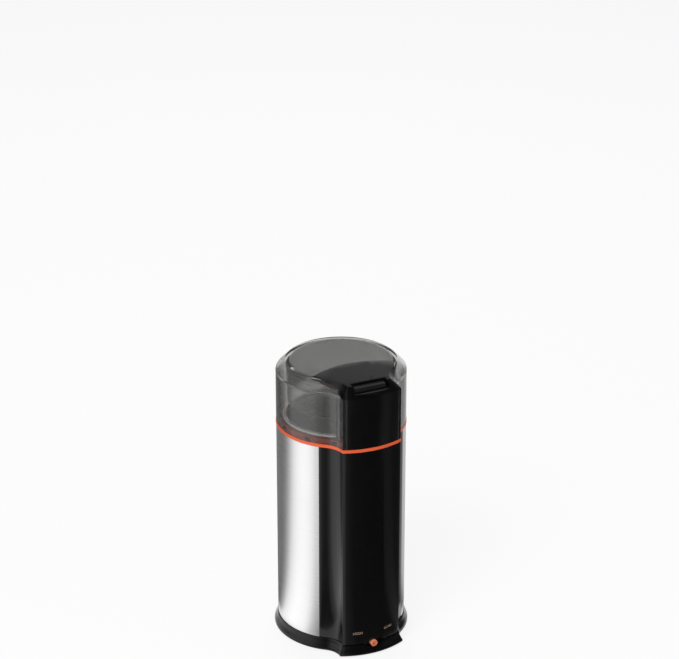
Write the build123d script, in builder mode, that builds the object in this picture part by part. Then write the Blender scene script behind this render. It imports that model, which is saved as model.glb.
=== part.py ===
from build123d import *
import os
from math import acos, cos, degrees, pi, radians, sin, sqrt

# Electric blade coffee grinder with a removable bowl and a press-to-grind lid.
# Millimetres, +Z up, the pod faces -Y. The origin is on the table, on the axis that the body,
# the bowl, the blade and the motor share. Heights build up from the table, piece on piece.

# Clearances that the pieces share
running_gap = 0.05  # radial play of a turning shaft
press_gap = 0.02  # radial play of a pressed-in piece
skin_gap = 0.05  # between the shell and the sheet wrapped round it
fit_gap = 0.2  # between fixed pieces that are pushed together
slide_gap = 0.3  # round a piece that slides
seat_gap = 0.2  # under a piece that lifts off
overrun = 1.0  # how far a cut runs past the face that it opens

# Plan of the body: a round wall whose front sweeps out to a pod with sharp corners
body_radius = 48.0
pod_step = 8.2  # how far the pod's front stands out from the round wall
pod_corner_angle = 24.4
fairing_start_angle = 38.5
panel_edge_angle = 45.2

# Foot ring, base housing and bottom cover
foot_height = 0.8
foot_inset = 3.7
foot_width = 3.0
foot_groove_depth = 1.0
base_height = 9.4
pod_base_height = 7.8
base_wall = 2.4
base_flare = 2.5
base_lip = 0.3
flare_height_shares = (0.0, 0.07, 0.2, 0.36, 0.55, 0.76, 1.0)
flare_out_shares = (0.72, 1.0, 1.0, 0.72, 0.4, 0.14, 0.0)
cover_recess = 0.6
cover_thickness = 2.0
shelf_thickness = 2.0
shelf_width = 13.5
vent_slot_length = 9.0
vent_slot_width = 2.2
vent_ring_radius = 25.0
vent_count = 16
cover_screw_inset = 10.2
cover_screw_count = 4
cover_screw_start_angle = 45.0
cover_screw_radius = 1.5
cover_screw_head_radius = 2.6
cover_screw_head_height = 1.0
cover_screw_length = 7.0
cover_boss_radius = 2.9
cover_boss_height = 5.0

# Body shell, sleeve, front panel and cord gland
sleeve_height = 157.2
sleeve_thickness = 0.5
sleeve_end_gap_angle = 0.12
shell_wall = 2.0
shell_lip_depth = 4.0
panel_wall = 2.4
panel_lip_wall = 1.6
panel_lip_angle = 5.0
panel_lip_end_gap = 2.0
gland_height = 24.0
gland_bore_radius = 3.5
gland_wall = 1.5
gland_flange_radius = 6.6
gland_flange_thickness = 1.6
gland_outer_length = 2.4

# Bowl collar: flange, raised ring, spigot and well
collar_joint = 0.2
collar_overhang = 0.3
flange_thickness = 2.4
ring_height = 3.4
ring_inset = 3.0
spigot_depth = 5.0
spigot_wall = 1.6
ledge_thickness = 2.0
collar_land = 6.2
mouth_edge = 0.5
well_wall = 2.0
well_floor_thickness = 2.5
well_bore_radius = 14.0
well_foot_gap = 0.9
well_foot_rise = 2.0
window_width = 4.3
window_height = 2.7
window_depth = 2.0
pod_window_angle = 15.0
fairing_window_angle = 30.4
round_window_angles = (58.0, 89.0, 120.0, 150.0)

# Grinding bowl, its base and the bearing that clamps them together
bowl_height = 89.0
bowl_base_height = 24.0
bowl_rim_reach = 1.45
bowl_rim_thickness = 2.4
bowl_mouth_gap = 0.9
bowl_bead_step = 0.6
bowl_bead_height = 2.4
bowl_taper = 5.0
bowl_sheet = 0.8
bend_share = 0.9  # bend radius as a share of the sheet
bowl_nest_depth = 4.4
bowl_nest_inset = 2.5
bowl_floor_gap = 0.5
bowl_base_wall = 2.2
bowl_deck_thickness = 3.8
base_groove_height = 0.8
base_groove_depth = 0.7
key_count = 3
key_angle = -31.5
key_width = 4.0
key_height = 1.8
key_reach = 1.9
key_rise = 6.0
lock_angle = 13.0
bush_radius = 6.0
bush_length = 10.5
bush_flange_radius = 9.5
bush_flange_thickness = 1.6
gasket_thickness = 0.6
bush_nut_width = 16.0
bush_nut_height = 4.0

# Blade, spindle and the pair of dog couplings
spindle_radius = 4.0
spindle_tip_radius = 3.0
blade_standoff = 1.5
blade_thickness = 1.8
blade_hub_length = 26.0
blade_width = 12.0
blade_wall_gap = 6.9
blade_tip_width = 8.0
blade_tip_tilt = 24.0
blade_nut_width = 10.0
blade_nut_height = 5.0
nut_chamfer = 1.0
coupling_radius = 11.5
coupling_dog_radius = 6.5
coupling_disc_height = 5.2
driven_disc_height = 3.0
dog_height = 5.0
dog_count = 3
dog_angle = 44.0
dog_tip_gap = 0.5
coupling_floor_gap = 0.4

# Motor: rubber mounts, brackets, stack, bearings and brushes
mount_post_height = 4.5
mount_post_radius = 4.5
mount_inset = 5.5
mount_count = 4
mount_radius = 5.0
mount_height = 3.5
mount_screw_radius = 2.0
mount_screw_head_radius = 3.8
mount_screw_head_height = 2.4
bracket_thickness = 2.5
bracket_wall_gap = 9.5
bracket_vent_length = 8.0
bracket_vent_width = 5.0
bracket_vent_ring_radius = 19.0
bracket_vent_count = 8
upper_leg_length = 15.5
lower_leg_length = 19.5
leg_radius = 4.0
yoke_back = 3.5
pole_back = 6.5
stack_corner_radius = 8.0
stack_height = 24.0
bolt_inset = 7.0
bolt_radius = 2.0
bolt_head_radius = 3.4
bolt_head_height = 2.4
rotor_radius = 15.5
air_gap = 0.4
coil_thickness = 4.7
pole_width = 18.0
pole_shoe_thickness = 2.5
pole_shoe_angle = 58.0
coil_angle = 54.0
coil_overhang = 7.0
shaft_radius = 3.0
shaft_chamfer = 0.5
shaft_tip_drop = 1.0
bearing_chamfer = 0.5
upper_bearing_radius = 8.0
upper_bearing_height = 5.5
upper_boss_height = 6.0
lower_bearing_radius = 7.0
lower_bearing_height = 4.5
lower_boss_drop = 3.5
bearing_boss_wall = 1.5
commutator_radius = 9.0
commutator_height = 11.0
commutator_stand = 2.5
commutator_bars = 12
commutator_cut_width = 0.6
commutator_cut_depth = 0.8
winding_inset = 2.3
winding_height = 5.2
winding_corner = 2.0
rotor_slots = 12
rotor_slot_width = 2.4
rotor_slot_depth = 4.0
fan_radius = 24.5
fan_disc_thickness = 1.2
fan_height = 6.0
fan_hub_radius = 6.5
fan_blades = 9
fan_blade_thickness = 1.2
fan_bracket_gap = 1.6
brush_width = 6.0
brush_height = 5.0
brush_length = 8.5
brush_contact_gap = 0.1
holder_gap = 1.2
holder_wall = 0.8
holder_length = 16.0
brush_pad_width = 12.0
brush_spring_radius = 1.7
brush_spring_wire = 0.4
brush_spring_turns = 4

# Lid: clear shell, black front cover, liner, press button and actuator
lid_height = 48.2
lid_overhang = 0.1
lid_wall = 2.0
shoulder_size = 8.1
shoulder_top_round = 4.0
shoulder_low_round = 2.5
lid_dome = 0.9
cover_back_reach = 12.2
cover_wing_inset = 14.7
cover_wing_y = 21.5
cover_knee_inset = 16.2
cover_side_strip = 1.9
cover_joint = 0.15
notch_half_width = 14.0
notch_length = 12.7
notch_depth = 6.0
notch_wall = 1.8
liner_inset = 8.2
liner_wall = 1.5
liner_lift = 17.5
liner_shoulder = 3.0
press_travel = 3.0
button_half_width = 12.4
button_depth = 5.0
button_flange = 1.0
button_flange_thickness = 1.5
button_flange_inset = 6.0
button_tab_half_width = 5.4
button_tab_inset = 4.6
button_edge_round = 0.6
actuator_inset = 7.6
actuator_width = 7.0
actuator_thickness = 1.2
actuator_tip_gap = 0.5
guide_height = 28.7
guide_thickness = 2.0
guide_length = 13.2
guide_boss_radius = 2.6
guide_boss_inset = 10.0
guide_screw_radius = 1.1
guide_screw_head_radius = 2.0
guide_screw_head_height = 1.2
guide_screw_bite = 3.0
press_spring_radius = 4.2
press_spring_wire = 0.6
press_spring_turns = 4

# Interlock in the pod: plunger, spring, bracket and push switch
plunger_slot_length = 8.2
plunger_slot_width = 3.0
plunger_blade_width = 7.4
plunger_blade_thickness = 2.4
plunger_shoulder_width = 10.0
plunger_shoulder_depth = 4.2
plunger_shoulder_height = 3.0
plunger_rod_radius = 1.8
plunger_rod_length = 17.0
plunger_spring_radius = 2.5
plunger_spring_wire = 0.5
plunger_spring_turns = 4
plunger_spring_length = 11.0
switch_stem_radius = 1.6
switch_stem_clear = 1.0
switch_stem_hidden = 5.0
interlock_width = 15.2
interlock_depth = 7.2
interlock_height = 17.0
switch_plate = 1.2
switch_plate_depth = 4.0

# Speed knob, slider, slide switch and control board
knob_radius = 2.65
knob_proud = 1.7
knob_dish_radius = 1.6
knob_dish_depth = 0.4
knob_travel = 4.0
slider_thickness = 1.5
slider_lap = 0.9
slider_stem_width = 2.4
slider_stem_length = 3.0
speed_switch_angle = 13.5
speed_switch_depth = 7.0
speed_switch_height = 7.4
board_width = 30.0
board_height = 50.0
board_thickness = 1.6
board_bottom = 32.0
board_post_length = 3.6
board_post_radius = 2.4
board_post_spacing_x = 22.0
board_post_spacing_z = 34.0
capacitor_width = 12.0
capacitor_depth = 7.0
capacitor_height = 18.0
rectifier_width = 9.0
rectifier_depth = 4.0
terminal_width = 22.0
terminal_depth = 6.0
terminal_height = 8.0


# Heights, reaches and radii that follow from the values above
pod_reach = body_radius + pod_step
foot_radius = body_radius - foot_inset
shelf_opening_radius = body_radius - shelf_width
cover_screw_ring_radius = body_radius - cover_screw_inset
mouth_radius = body_radius - collar_land
bowl_rim_radius = mouth_radius + bowl_rim_reach
bowl_top_radius = mouth_radius - bowl_mouth_gap
bowl_bead_radius = bowl_top_radius + bowl_bead_step
bowl_foot_radius = bowl_top_radius - bowl_taper
blade_span_radius = bowl_foot_radius - blade_wall_gap
upper_bracket_radius = body_radius - bracket_wall_gap
mount_ring_radius = upper_bracket_radius - mount_inset
coil_inner_radius = rotor_radius + air_gap + pole_shoe_thickness + fit_gap
coil_outer_radius = coil_inner_radius + coil_thickness
yoke_inner_radius = coil_outer_radius + fit_gap
stack_width = 2 * (yoke_inner_radius + pole_back)
stack_depth = 2 * (yoke_inner_radius + yoke_back)
bolt_spacing_x = stack_width - 2 * bolt_inset
bolt_spacing_y = stack_depth - 2 * bolt_inset
winding_radius = rotor_radius - winding_inset
liner_radius = body_radius - liner_inset
cover_wing_x = body_radius - cover_wing_inset
actuator_reach = pod_reach - actuator_inset
notch_back = pod_reach - notch_length
button_flange_reach = pod_reach - button_flange_inset
button_tab_reach = pod_reach - button_tab_inset
guide_back = pod_reach - guide_length
guide_boss_reach = pod_reach - guide_boss_inset
board_reach = pod_reach - panel_wall - board_post_length
cover_knee_y = pod_reach - cover_knee_inset
cover_half_width = pod_reach * sin(radians(pod_corner_angle)) - cover_side_strip
base_top = foot_height + base_height
pod_base_top = foot_height + pod_base_height
cover_bottom = foot_height + cover_recess
shelf_bottom = cover_bottom + cover_thickness
shelf_top = shelf_bottom + shelf_thickness
sleeve_top = base_top + sleeve_height
flange_bottom = sleeve_top + collar_joint
flange_top = flange_bottom + flange_thickness
ring_top = flange_top + ring_height
ledge_bottom = ring_top - ledge_thickness
spigot_bottom = flange_bottom - spigot_depth
shell_radius = body_radius - sleeve_thickness - skin_gap
shell_inner_radius = shell_radius - shell_wall
rim_bottom = ring_top + seat_gap
rim_top = rim_bottom + bowl_rim_thickness
bowl_base_bottom = rim_top - bowl_height
bowl_base_top = bowl_base_bottom + bowl_base_height
well_floor_top = bowl_base_bottom - bowl_floor_gap
well_floor_bottom = well_floor_top - well_floor_thickness
well_foot_radius = bowl_foot_radius + well_foot_gap
upper_bracket_top = well_floor_bottom - mount_post_height - mount_height
upper_bracket_bottom = upper_bracket_top - bracket_thickness
stack_top = upper_bracket_bottom - upper_leg_length
stack_bottom = stack_top - stack_height
lower_bracket_top = stack_bottom - lower_leg_length
lower_bracket_bottom = lower_bracket_top - bracket_thickness
upper_boss_top = upper_bracket_top + upper_boss_height
lower_boss_bottom = lower_bracket_bottom - lower_boss_drop
commutator_bottom = lower_bracket_top + commutator_stand
brush_centre_height = commutator_bottom + commutator_height / 2
brush_middle = commutator_radius + holder_gap + holder_length / 2
coupling_bottom = upper_boss_top + coupling_floor_gap
coupling_disc_top = coupling_bottom + coupling_disc_height
driven_disc_bottom = coupling_disc_top + dog_height + dog_tip_gap
bowl_floor_bottom = bowl_base_top - bowl_nest_depth
bowl_floor_top = bowl_floor_bottom + bowl_sheet
bush_flange_bottom = bowl_floor_top + gasket_thickness
bush_flange_top = bush_flange_bottom + bush_flange_thickness
blade_bottom = bush_flange_top + blade_standoff
blade_top = blade_bottom + blade_thickness
lid_bottom = flange_top + seat_gap
lid_top = lid_bottom + lid_height
notch_floor = lid_top - notch_depth
notch_floor_bottom = notch_floor - notch_wall
guide_top = lid_bottom + guide_height
button_bottom = notch_floor_bottom - slide_gap - button_flange_thickness
guide_boss_x = button_half_width + button_flange + slide_gap + guide_boss_radius
plunger_top = ring_top - seat_gap
plunger_shoulder_top = ledge_bottom - slide_gap
plunger_shoulder_bottom = plunger_shoulder_top - plunger_shoulder_height
plunger_rod_bottom = plunger_shoulder_bottom - plunger_rod_length
interlock_top = plunger_rod_bottom - press_travel - switch_stem_clear
interlock_bottom = interlock_top - interlock_height
spring_plate_top = plunger_shoulder_bottom - plunger_spring_length
knob_height = pod_base_top
knob_slot_half_height = knob_radius + fit_gap
slider_reach = pod_reach - panel_wall - slide_gap
slider_inner = slider_reach - slider_thickness
knob_swing_angle = degrees(knob_travel / slider_reach)
lead_angle = radians(fairing_start_angle - pod_corner_angle)
lead_along = pod_reach * sin(lead_angle)
lead_rise = pod_reach * cos(lead_angle) - body_radius
fairing_radius = (lead_along**2 + lead_rise**2) / (2 * lead_rise)
fairing_centre_reach = body_radius + fairing_radius


def polar(radius, angle):
    """A point at a radius from the axis and an angle in degrees from the front, positive towards +X."""
    return (radius * sin(radians(angle)), -radius * cos(radians(angle)))


def facing(radius, angle, height):
    """A plane at that point whose normal runs out from the axis and whose y runs up."""
    x, y = polar(radius, angle)
    outward = polar(1, angle)
    along = (cos(radians(angle)), sin(radians(angle)))
    return Plane(origin=(x, y, height), x_dir=(*along, 0), z_dir=(*outward, 0))


def plan(outset):
    """The body's plan, grown outwards: the round wall, both concave fairings and the pod's front arc."""
    round_wall = body_radius + outset
    pod_wall = pod_reach + outset
    sweep_radius = fairing_radius - outset
    reach_terms = fairing_centre_reach**2 + pod_wall**2 - sweep_radius**2
    corner_lead = degrees(acos(reach_terms / (2 * fairing_centre_reach * pod_wall)))
    centre = Vector(*polar(fairing_centre_reach, fairing_start_angle))
    start = Vector(*polar(round_wall, fairing_start_angle))
    corner = Vector(*polar(pod_wall, fairing_start_angle - corner_lead))
    bisector = (start - centre).normalized() + (corner - centre).normalized()
    middle = centre + bisector.normalized() * sweep_radius
    left_start, left_middle, left_corner = [Vector(-p.X, p.Y) for p in (start, middle, corner)]
    with BuildSketch() as outline:
        with BuildLine():
            ThreePointArc(left_corner, (0, -pod_wall), corner)
            ThreePointArc(corner, middle, start)
            ThreePointArc(start, (round_wall, 0), (0, round_wall))
            ThreePointArc((0, round_wall), (-round_wall, 0), left_start)
            ThreePointArc(left_start, left_middle, left_corner)
        make_face()
    return outline.sketch


def ring_sector(inner, outer, start_angle, end_angle):
    """A piece of a flat ring between two angles from the front."""
    middle_angle = (start_angle + end_angle) / 2
    with BuildSketch() as sector:
        with BuildLine():
            ThreePointArc(polar(outer, start_angle), polar(outer, middle_angle), polar(outer, end_angle))
            Line(polar(outer, end_angle), polar(inner, end_angle))
            ThreePointArc(polar(inner, end_angle), polar(inner, middle_angle), polar(inner, start_angle))
            Line(polar(inner, start_angle), polar(outer, start_angle))
        make_face()
    return sector.sketch


def wedge(half_angle, reach):
    """A triangle from the axis to the front, wide enough to hold everything within the angle."""
    far = reach / cos(radians(half_angle))
    with BuildSketch() as slice_face:
        Polygon((0, 0), polar(far, -half_angle), polar(far, half_angle), align=None)
    return slice_face.sketch


def coil_curve(seat, radius, height, turns):
    """A helix that rises from a plane, as pairs of tangent arcs, two for each quarter turn."""
    climb = height / (2 * pi * turns)

    def point(i):
        angle = pi / 2 * i
        outward = seat.x_dir * cos(angle) + seat.y_dir * sin(angle)
        return seat.origin + outward * radius + seat.z_dir * (climb * angle)

    def direction(i):
        angle = pi / 2 * i
        around = seat.y_dir * cos(angle) - seat.x_dir * sin(angle)
        return (around * radius + seat.z_dir * climb).normalized()

    with BuildLine() as coil:
        for i in range(4 * turns):
            chord = point(i + 1) - point(i)
            first, last = direction(i), direction(i + 1)
            spread = 2 * (1 - first.dot(last))
            lean = chord.dot(first + last)
            reach = (sqrt(lean**2 + spread * chord.dot(chord)) - lean) / spread
            joint = (point(i) + point(i + 1) + (first - last) * reach) / 2
            TangentArc(point(i), joint, tangent=first)
            TangentArc(joint, point(i + 1), tangent=-last, tangent_from_first=False)
    return coil.wire()


def least_coil_gap(curve, wire, turns):
    """The least gap of a coil to itself, from points half a turn or more apart along the wire."""
    samples = 24 * turns
    apart = samples // turns // 2
    points = [curve @ (i / samples) for i in range(samples + 1)]
    pairs = [(p, q) for i, p in enumerate(points) for q in points[i + apart :]]
    return min((p - q).length for p, q in pairs) - wire


# Base: foot ring, bottom cover, screws and flared housing

with BuildPart() as foot_ring:
    with BuildSketch():
        Circle(foot_radius)
        Circle(foot_radius - foot_width, mode=Mode.SUBTRACT)
    extrude(amount=cover_bottom + foot_groove_depth)

with BuildPart() as bottom_cover:
    with BuildSketch(Plane.XY.offset(cover_bottom)):
        add(plan(-base_wall - fit_gap))
        with PolarLocations(vent_ring_radius, vent_count):
            SlotOverall(vent_slot_length, vent_slot_width, mode=Mode.SUBTRACT)
        with PolarLocations(cover_screw_ring_radius, cover_screw_count, cover_screw_start_angle):
            Circle(cover_screw_radius + fit_gap, mode=Mode.SUBTRACT)
    extrude(amount=cover_thickness)
    with BuildSketch(Plane.XY.offset(cover_bottom)):
        Circle(foot_radius + press_gap)
        Circle(foot_radius - foot_width - press_gap, mode=Mode.SUBTRACT)
    extrude(amount=foot_groove_depth, mode=Mode.SUBTRACT)
    with BuildSketch(Plane.XY.offset(cover_bottom)):
        with PolarLocations(cover_screw_ring_radius, cover_screw_count, cover_screw_start_angle):
            Circle(cover_screw_head_radius + fit_gap)
    extrude(amount=cover_screw_head_height, mode=Mode.SUBTRACT)

with BuildPart() as cover_screws:
    with BuildSketch(Plane.XY.offset(cover_bottom)):
        with PolarLocations(cover_screw_ring_radius, cover_screw_count, cover_screw_start_angle):
            Circle(cover_screw_head_radius)
    extrude(amount=cover_screw_head_height)
    with BuildSketch(Plane.XY.offset(cover_bottom)):
        with PolarLocations(cover_screw_ring_radius, cover_screw_count, cover_screw_start_angle):
            Circle(cover_screw_radius)
    extrude(amount=cover_screw_length)
    with BuildSketch(Plane.XY.offset(cover_bottom)):
        with PolarLocations(cover_screw_ring_radius, cover_screw_count, cover_screw_start_angle):
            Rectangle(cover_screw_head_radius, cover_screw_radius / 3)
            Rectangle(cover_screw_radius / 3, cover_screw_head_radius)
    extrude(amount=cover_screw_head_height / 2, mode=Mode.SUBTRACT)

# The housing flares from the sleeve's edge out to a rounded lip near the table. The pod's part of its
# top edge is lower, and the knob's slot is half in this edge and half in the panel above it.
with BuildPart() as base_housing:
    for height_share, out_share in zip(flare_height_shares, flare_out_shares):
        with BuildSketch(Plane.XY.offset(foot_height + base_height * height_share)):
            add(plan(base_lip + base_flare * out_share))
    loft(ruled=True)
    with BuildSketch(Plane.XY.offset(foot_height)):
        add(plan(-base_wall))
    extrude(amount=shelf_bottom - foot_height, mode=Mode.SUBTRACT)
    with BuildSketch(Plane.XY.offset(shelf_top)):
        add(plan(-base_wall))
    extrude(amount=base_height, mode=Mode.SUBTRACT)
    with BuildSketch(Plane.XY.offset(foot_height)):
        Circle(shelf_opening_radius)
    extrude(amount=base_height, mode=Mode.SUBTRACT)
    with BuildSketch(Plane.XY.offset(pod_base_top)):
        add(wedge(pod_corner_angle, pod_reach + base_flare + overrun))
    extrude(amount=base_height, mode=Mode.SUBTRACT)
    with BuildSketch(Plane.XY.offset(shelf_top)):
        with PolarLocations(cover_screw_ring_radius, cover_screw_count, cover_screw_start_angle):
            Circle(cover_boss_radius)
    extrude(amount=cover_boss_height)
    with BuildSketch(Plane.XY.offset(foot_height)):
        with PolarLocations(cover_screw_ring_radius, cover_screw_count, cover_screw_start_angle):
            Circle(cover_screw_radius + press_gap)
    extrude(amount=base_height, mode=Mode.SUBTRACT)
    with BuildSketch(Plane.XZ.offset(pod_reach - base_wall - overrun)):
        with Locations((0, knob_height)):
            SlotCenterToCenter(2 * knob_travel, 2 * knob_slot_half_height)
    extrude(amount=base_wall + base_flare + 2 * overrun, mode=Mode.SUBTRACT)

# Walls: inner shell, steel sleeve, front panel and the gland for the mains lead

# The shell stands on the base's top edge, and its lip reaches down inside the base.
shell_edge_angle = panel_edge_angle + sleeve_end_gap_angle
lip_edge_angle = panel_edge_angle + 2 * panel_lip_angle
with BuildPart() as body_shell:
    with BuildSketch(Plane.XY.offset(base_top)):
        add(ring_sector(shell_inner_radius, shell_radius, shell_edge_angle, 360 - shell_edge_angle))
    extrude(amount=flange_bottom - base_top)
    lip_radius = body_radius - base_wall - fit_gap
    with BuildSketch(Plane.XY.offset(base_top)):
        add(ring_sector(lip_radius - shell_wall, shell_radius, lip_edge_angle, 360 - lip_edge_angle))
    extrude(amount=shell_wall)
    with BuildSketch(Plane.XY.offset(base_top)):
        add(ring_sector(lip_radius - shell_wall, lip_radius, lip_edge_angle, 360 - lip_edge_angle))
    extrude(amount=-shell_lip_depth)
    with BuildSketch(Plane.XZ.offset(-shell_inner_radius + overrun)):
        with Locations((0, gland_height)):
            Circle(gland_bore_radius + gland_wall + press_gap)
    extrude(amount=-shell_wall - 2 * overrun, mode=Mode.SUBTRACT)

with BuildPart() as steel_sleeve:
    with BuildSketch(Plane.XY.offset(base_top)):
        sleeve_inner = body_radius - sleeve_thickness
        add(ring_sector(sleeve_inner, body_radius, shell_edge_angle, 360 - shell_edge_angle))
    extrude(amount=sleeve_height)
    with BuildSketch(Plane.XZ.offset(-shell_inner_radius + overrun)):
        with Locations((0, gland_height)):
            Circle(gland_bore_radius + gland_wall + press_gap)
    extrude(amount=-shell_wall - sleeve_thickness - 2 * overrun, mode=Mode.SUBTRACT)

# The panel covers the pod and both fairings. Its lips reach behind the shell's front edges, and posts
# on its back carry the control board.
with BuildPart() as front_panel:
    with BuildSketch(Plane.XY.offset(base_top)):
        add(plan(0))
        add(plan(-panel_wall), mode=Mode.SUBTRACT)
        add(wedge(panel_edge_angle, pod_reach + overrun), mode=Mode.INTERSECT)
    extrude(amount=flange_bottom - base_top)
    with BuildSketch(Plane.XY.offset(pod_base_top)):
        add(plan(0))
        add(plan(-panel_wall), mode=Mode.SUBTRACT)
        add(wedge(pod_corner_angle, pod_reach + overrun), mode=Mode.INTERSECT)
    extrude(amount=base_top - pod_base_top)
    with BuildSketch(Plane.XY.offset(base_top + panel_lip_end_gap)):
        lip_outer = shell_inner_radius - fit_gap
        lip_inner = lip_outer - panel_lip_wall
        for side in (-1, 1):
            root_angles = sorted((side * (panel_edge_angle - panel_lip_angle), side * panel_edge_angle))
            tip_angles = sorted((side * panel_edge_angle, side * (panel_edge_angle + panel_lip_angle)))
            add(ring_sector(lip_inner, body_radius - panel_wall / 2, *root_angles))
            add(ring_sector(lip_inner, lip_outer, *tip_angles))
    extrude(amount=spigot_bottom - base_top - 2 * panel_lip_end_gap)
    with BuildSketch(Plane.XZ.offset(board_reach)):
        with Locations((0, board_bottom + board_height / 2)):
            with GridLocations(board_post_spacing_x, board_post_spacing_z, 2, 2):
                Circle(board_post_radius)
    extrude(amount=pod_reach - panel_wall - board_reach)
    with BuildSketch(Plane.XZ.offset(pod_reach - panel_wall - overrun)):
        with Locations((0, knob_height)):
            SlotCenterToCenter(2 * knob_travel, 2 * knob_slot_half_height)
    extrude(amount=panel_wall + 2 * overrun, mode=Mode.SUBTRACT)

# A moulded bush with a flange on each side of the rear wall.
with BuildPart() as cord_gland:
    gland_inner_face = sqrt(shell_inner_radius**2 - gland_flange_radius**2)
    gland_inner_end = gland_inner_face - gland_flange_thickness
    gland_outer_end = body_radius + gland_outer_length
    with BuildSketch(Plane.XZ.offset(-gland_inner_end)):
        with Locations((0, gland_height)):
            Circle(gland_bore_radius + gland_wall)
    extrude(amount=gland_inner_end - gland_outer_end)
    with BuildSketch(Plane.XZ.offset(-gland_inner_end)):
        with Locations((0, gland_height)):
            Circle(gland_flange_radius)
    extrude(amount=-gland_flange_thickness)
    with BuildSketch(Plane.XZ.offset(-body_radius)):
        with Locations((0, gland_height)):
            Circle(gland_flange_radius)
    extrude(amount=-gland_outer_length)
    with BuildSketch(Plane.XZ.offset(-gland_inner_end)):
        with Locations((0, gland_height)):
            Circle(gland_bore_radius)
    extrude(amount=gland_inner_end - gland_outer_end, mode=Mode.SUBTRACT)

# Bowl collar: one orange moulding of flange, raised ring, spigot and well. The pod's part is hollow
# under its ledge, and small windows go round the step that the lid's skirt fits over.
with BuildPart() as bowl_collar:
    with BuildSketch(Plane.XY.offset(flange_bottom)):
        add(plan(collar_overhang))
    extrude(amount=flange_thickness)
    with BuildSketch(Plane.XY.offset(spigot_bottom)):
        add(plan(-ring_inset))
    extrude(amount=ring_top - spigot_bottom)
    with BuildSketch(Plane.XY.offset(spigot_bottom)):
        add(plan(-ring_inset - spigot_wall))
        Circle(mouth_radius + well_wall, mode=Mode.SUBTRACT)
    extrude(amount=ledge_bottom - spigot_bottom, mode=Mode.SUBTRACT)
    well_bend = bowl_base_top + well_foot_rise
    with BuildSketch(Plane.XZ):
        Polygon(
            (0, well_floor_bottom),
            (well_foot_radius + well_wall, well_floor_bottom),
            (well_foot_radius + well_wall, well_bend),
            (mouth_radius + well_wall, flange_bottom),
            (0, flange_bottom),
            align=None,
        )
    revolve(axis=Axis.Z)
    with BuildSketch(Plane.XZ):
        Polygon(
            (0, well_floor_top),
            (well_foot_radius, well_floor_top),
            (well_foot_radius, well_bend),
            (mouth_radius, flange_bottom),
            (mouth_radius, ring_top - mouth_edge),
            (mouth_radius + mouth_edge, ring_top),
            (mouth_radius + mouth_edge, ring_top + overrun),
            (0, ring_top + overrun),
            align=None,
        )
    revolve(axis=Axis.Z, mode=Mode.SUBTRACT)
    with BuildSketch(Plane.XY.offset(well_floor_bottom)):
        Circle(well_bore_radius)
    extrude(amount=well_floor_thickness, mode=Mode.SUBTRACT)
    with BuildSketch(Plane.XY.offset(well_floor_bottom)):
        with PolarLocations(mount_ring_radius, mount_count):
            Circle(mount_post_radius)
    extrude(amount=-mount_post_height)
    with BuildSketch(Plane.XY.offset(well_floor_bottom - mount_post_height)):
        with PolarLocations(mount_ring_radius, mount_count):
            Circle(mount_screw_radius + press_gap)
    extrude(amount=mount_post_height, mode=Mode.SUBTRACT)
    for key in range(key_count):
        middle = key_angle + 360 / key_count * key
        with Locations(facing(well_foot_radius, middle, bowl_base_bottom + key_rise)):
            Box(key_width, key_height, 2 * key_reach)
    ring_wall = body_radius - ring_inset
    pod_wall = pod_reach - ring_inset
    fairing_lead = radians(fairing_start_angle - fairing_window_angle)
    fairing_sweep = fairing_radius + ring_inset
    fairing_chord = sqrt(fairing_sweep**2 - (fairing_centre_reach * sin(fairing_lead)) ** 2)
    fairing_wall = fairing_centre_reach * cos(fairing_lead) - fairing_chord
    window_places = [(ring_wall, angle) for angle in round_window_angles]
    window_places += [(pod_wall, pod_window_angle), (fairing_wall, fairing_window_angle)]
    for radius, angle in window_places:
        for side in (-1, 1):
            with Locations(facing(radius, side * angle, flange_top + window_height / 2)):
                Box(window_width, window_height, 2 * window_depth, mode=Mode.SUBTRACT)
    with BuildSketch(Plane.XY.offset(ledge_bottom)):
        with Locations((0, -actuator_reach)):
            Rectangle(plunger_slot_length, plunger_slot_width)
    extrude(amount=ledge_thickness, mode=Mode.SUBTRACT)

# Motor: rubber mounts and screws hang the upper bracket from the well's floor

with BuildPart() as motor_mounts:
    with BuildSketch(Plane.XY.offset(upper_bracket_top)):
        with PolarLocations(mount_ring_radius, mount_count):
            Circle(mount_radius)
            Circle(mount_screw_radius + fit_gap, mode=Mode.SUBTRACT)
    extrude(amount=mount_height)

with BuildPart() as mount_screws:
    with BuildSketch(Plane.XY.offset(upper_bracket_bottom)):
        with PolarLocations(mount_ring_radius, mount_count):
            Circle(mount_screw_head_radius)
    extrude(amount=-mount_screw_head_height)
    with BuildSketch(Plane.XY.offset(upper_bracket_bottom)):
        with PolarLocations(mount_ring_radius, mount_count):
            Circle(mount_screw_radius)
    extrude(amount=bracket_thickness + mount_height + mount_post_height - fit_gap)

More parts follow.
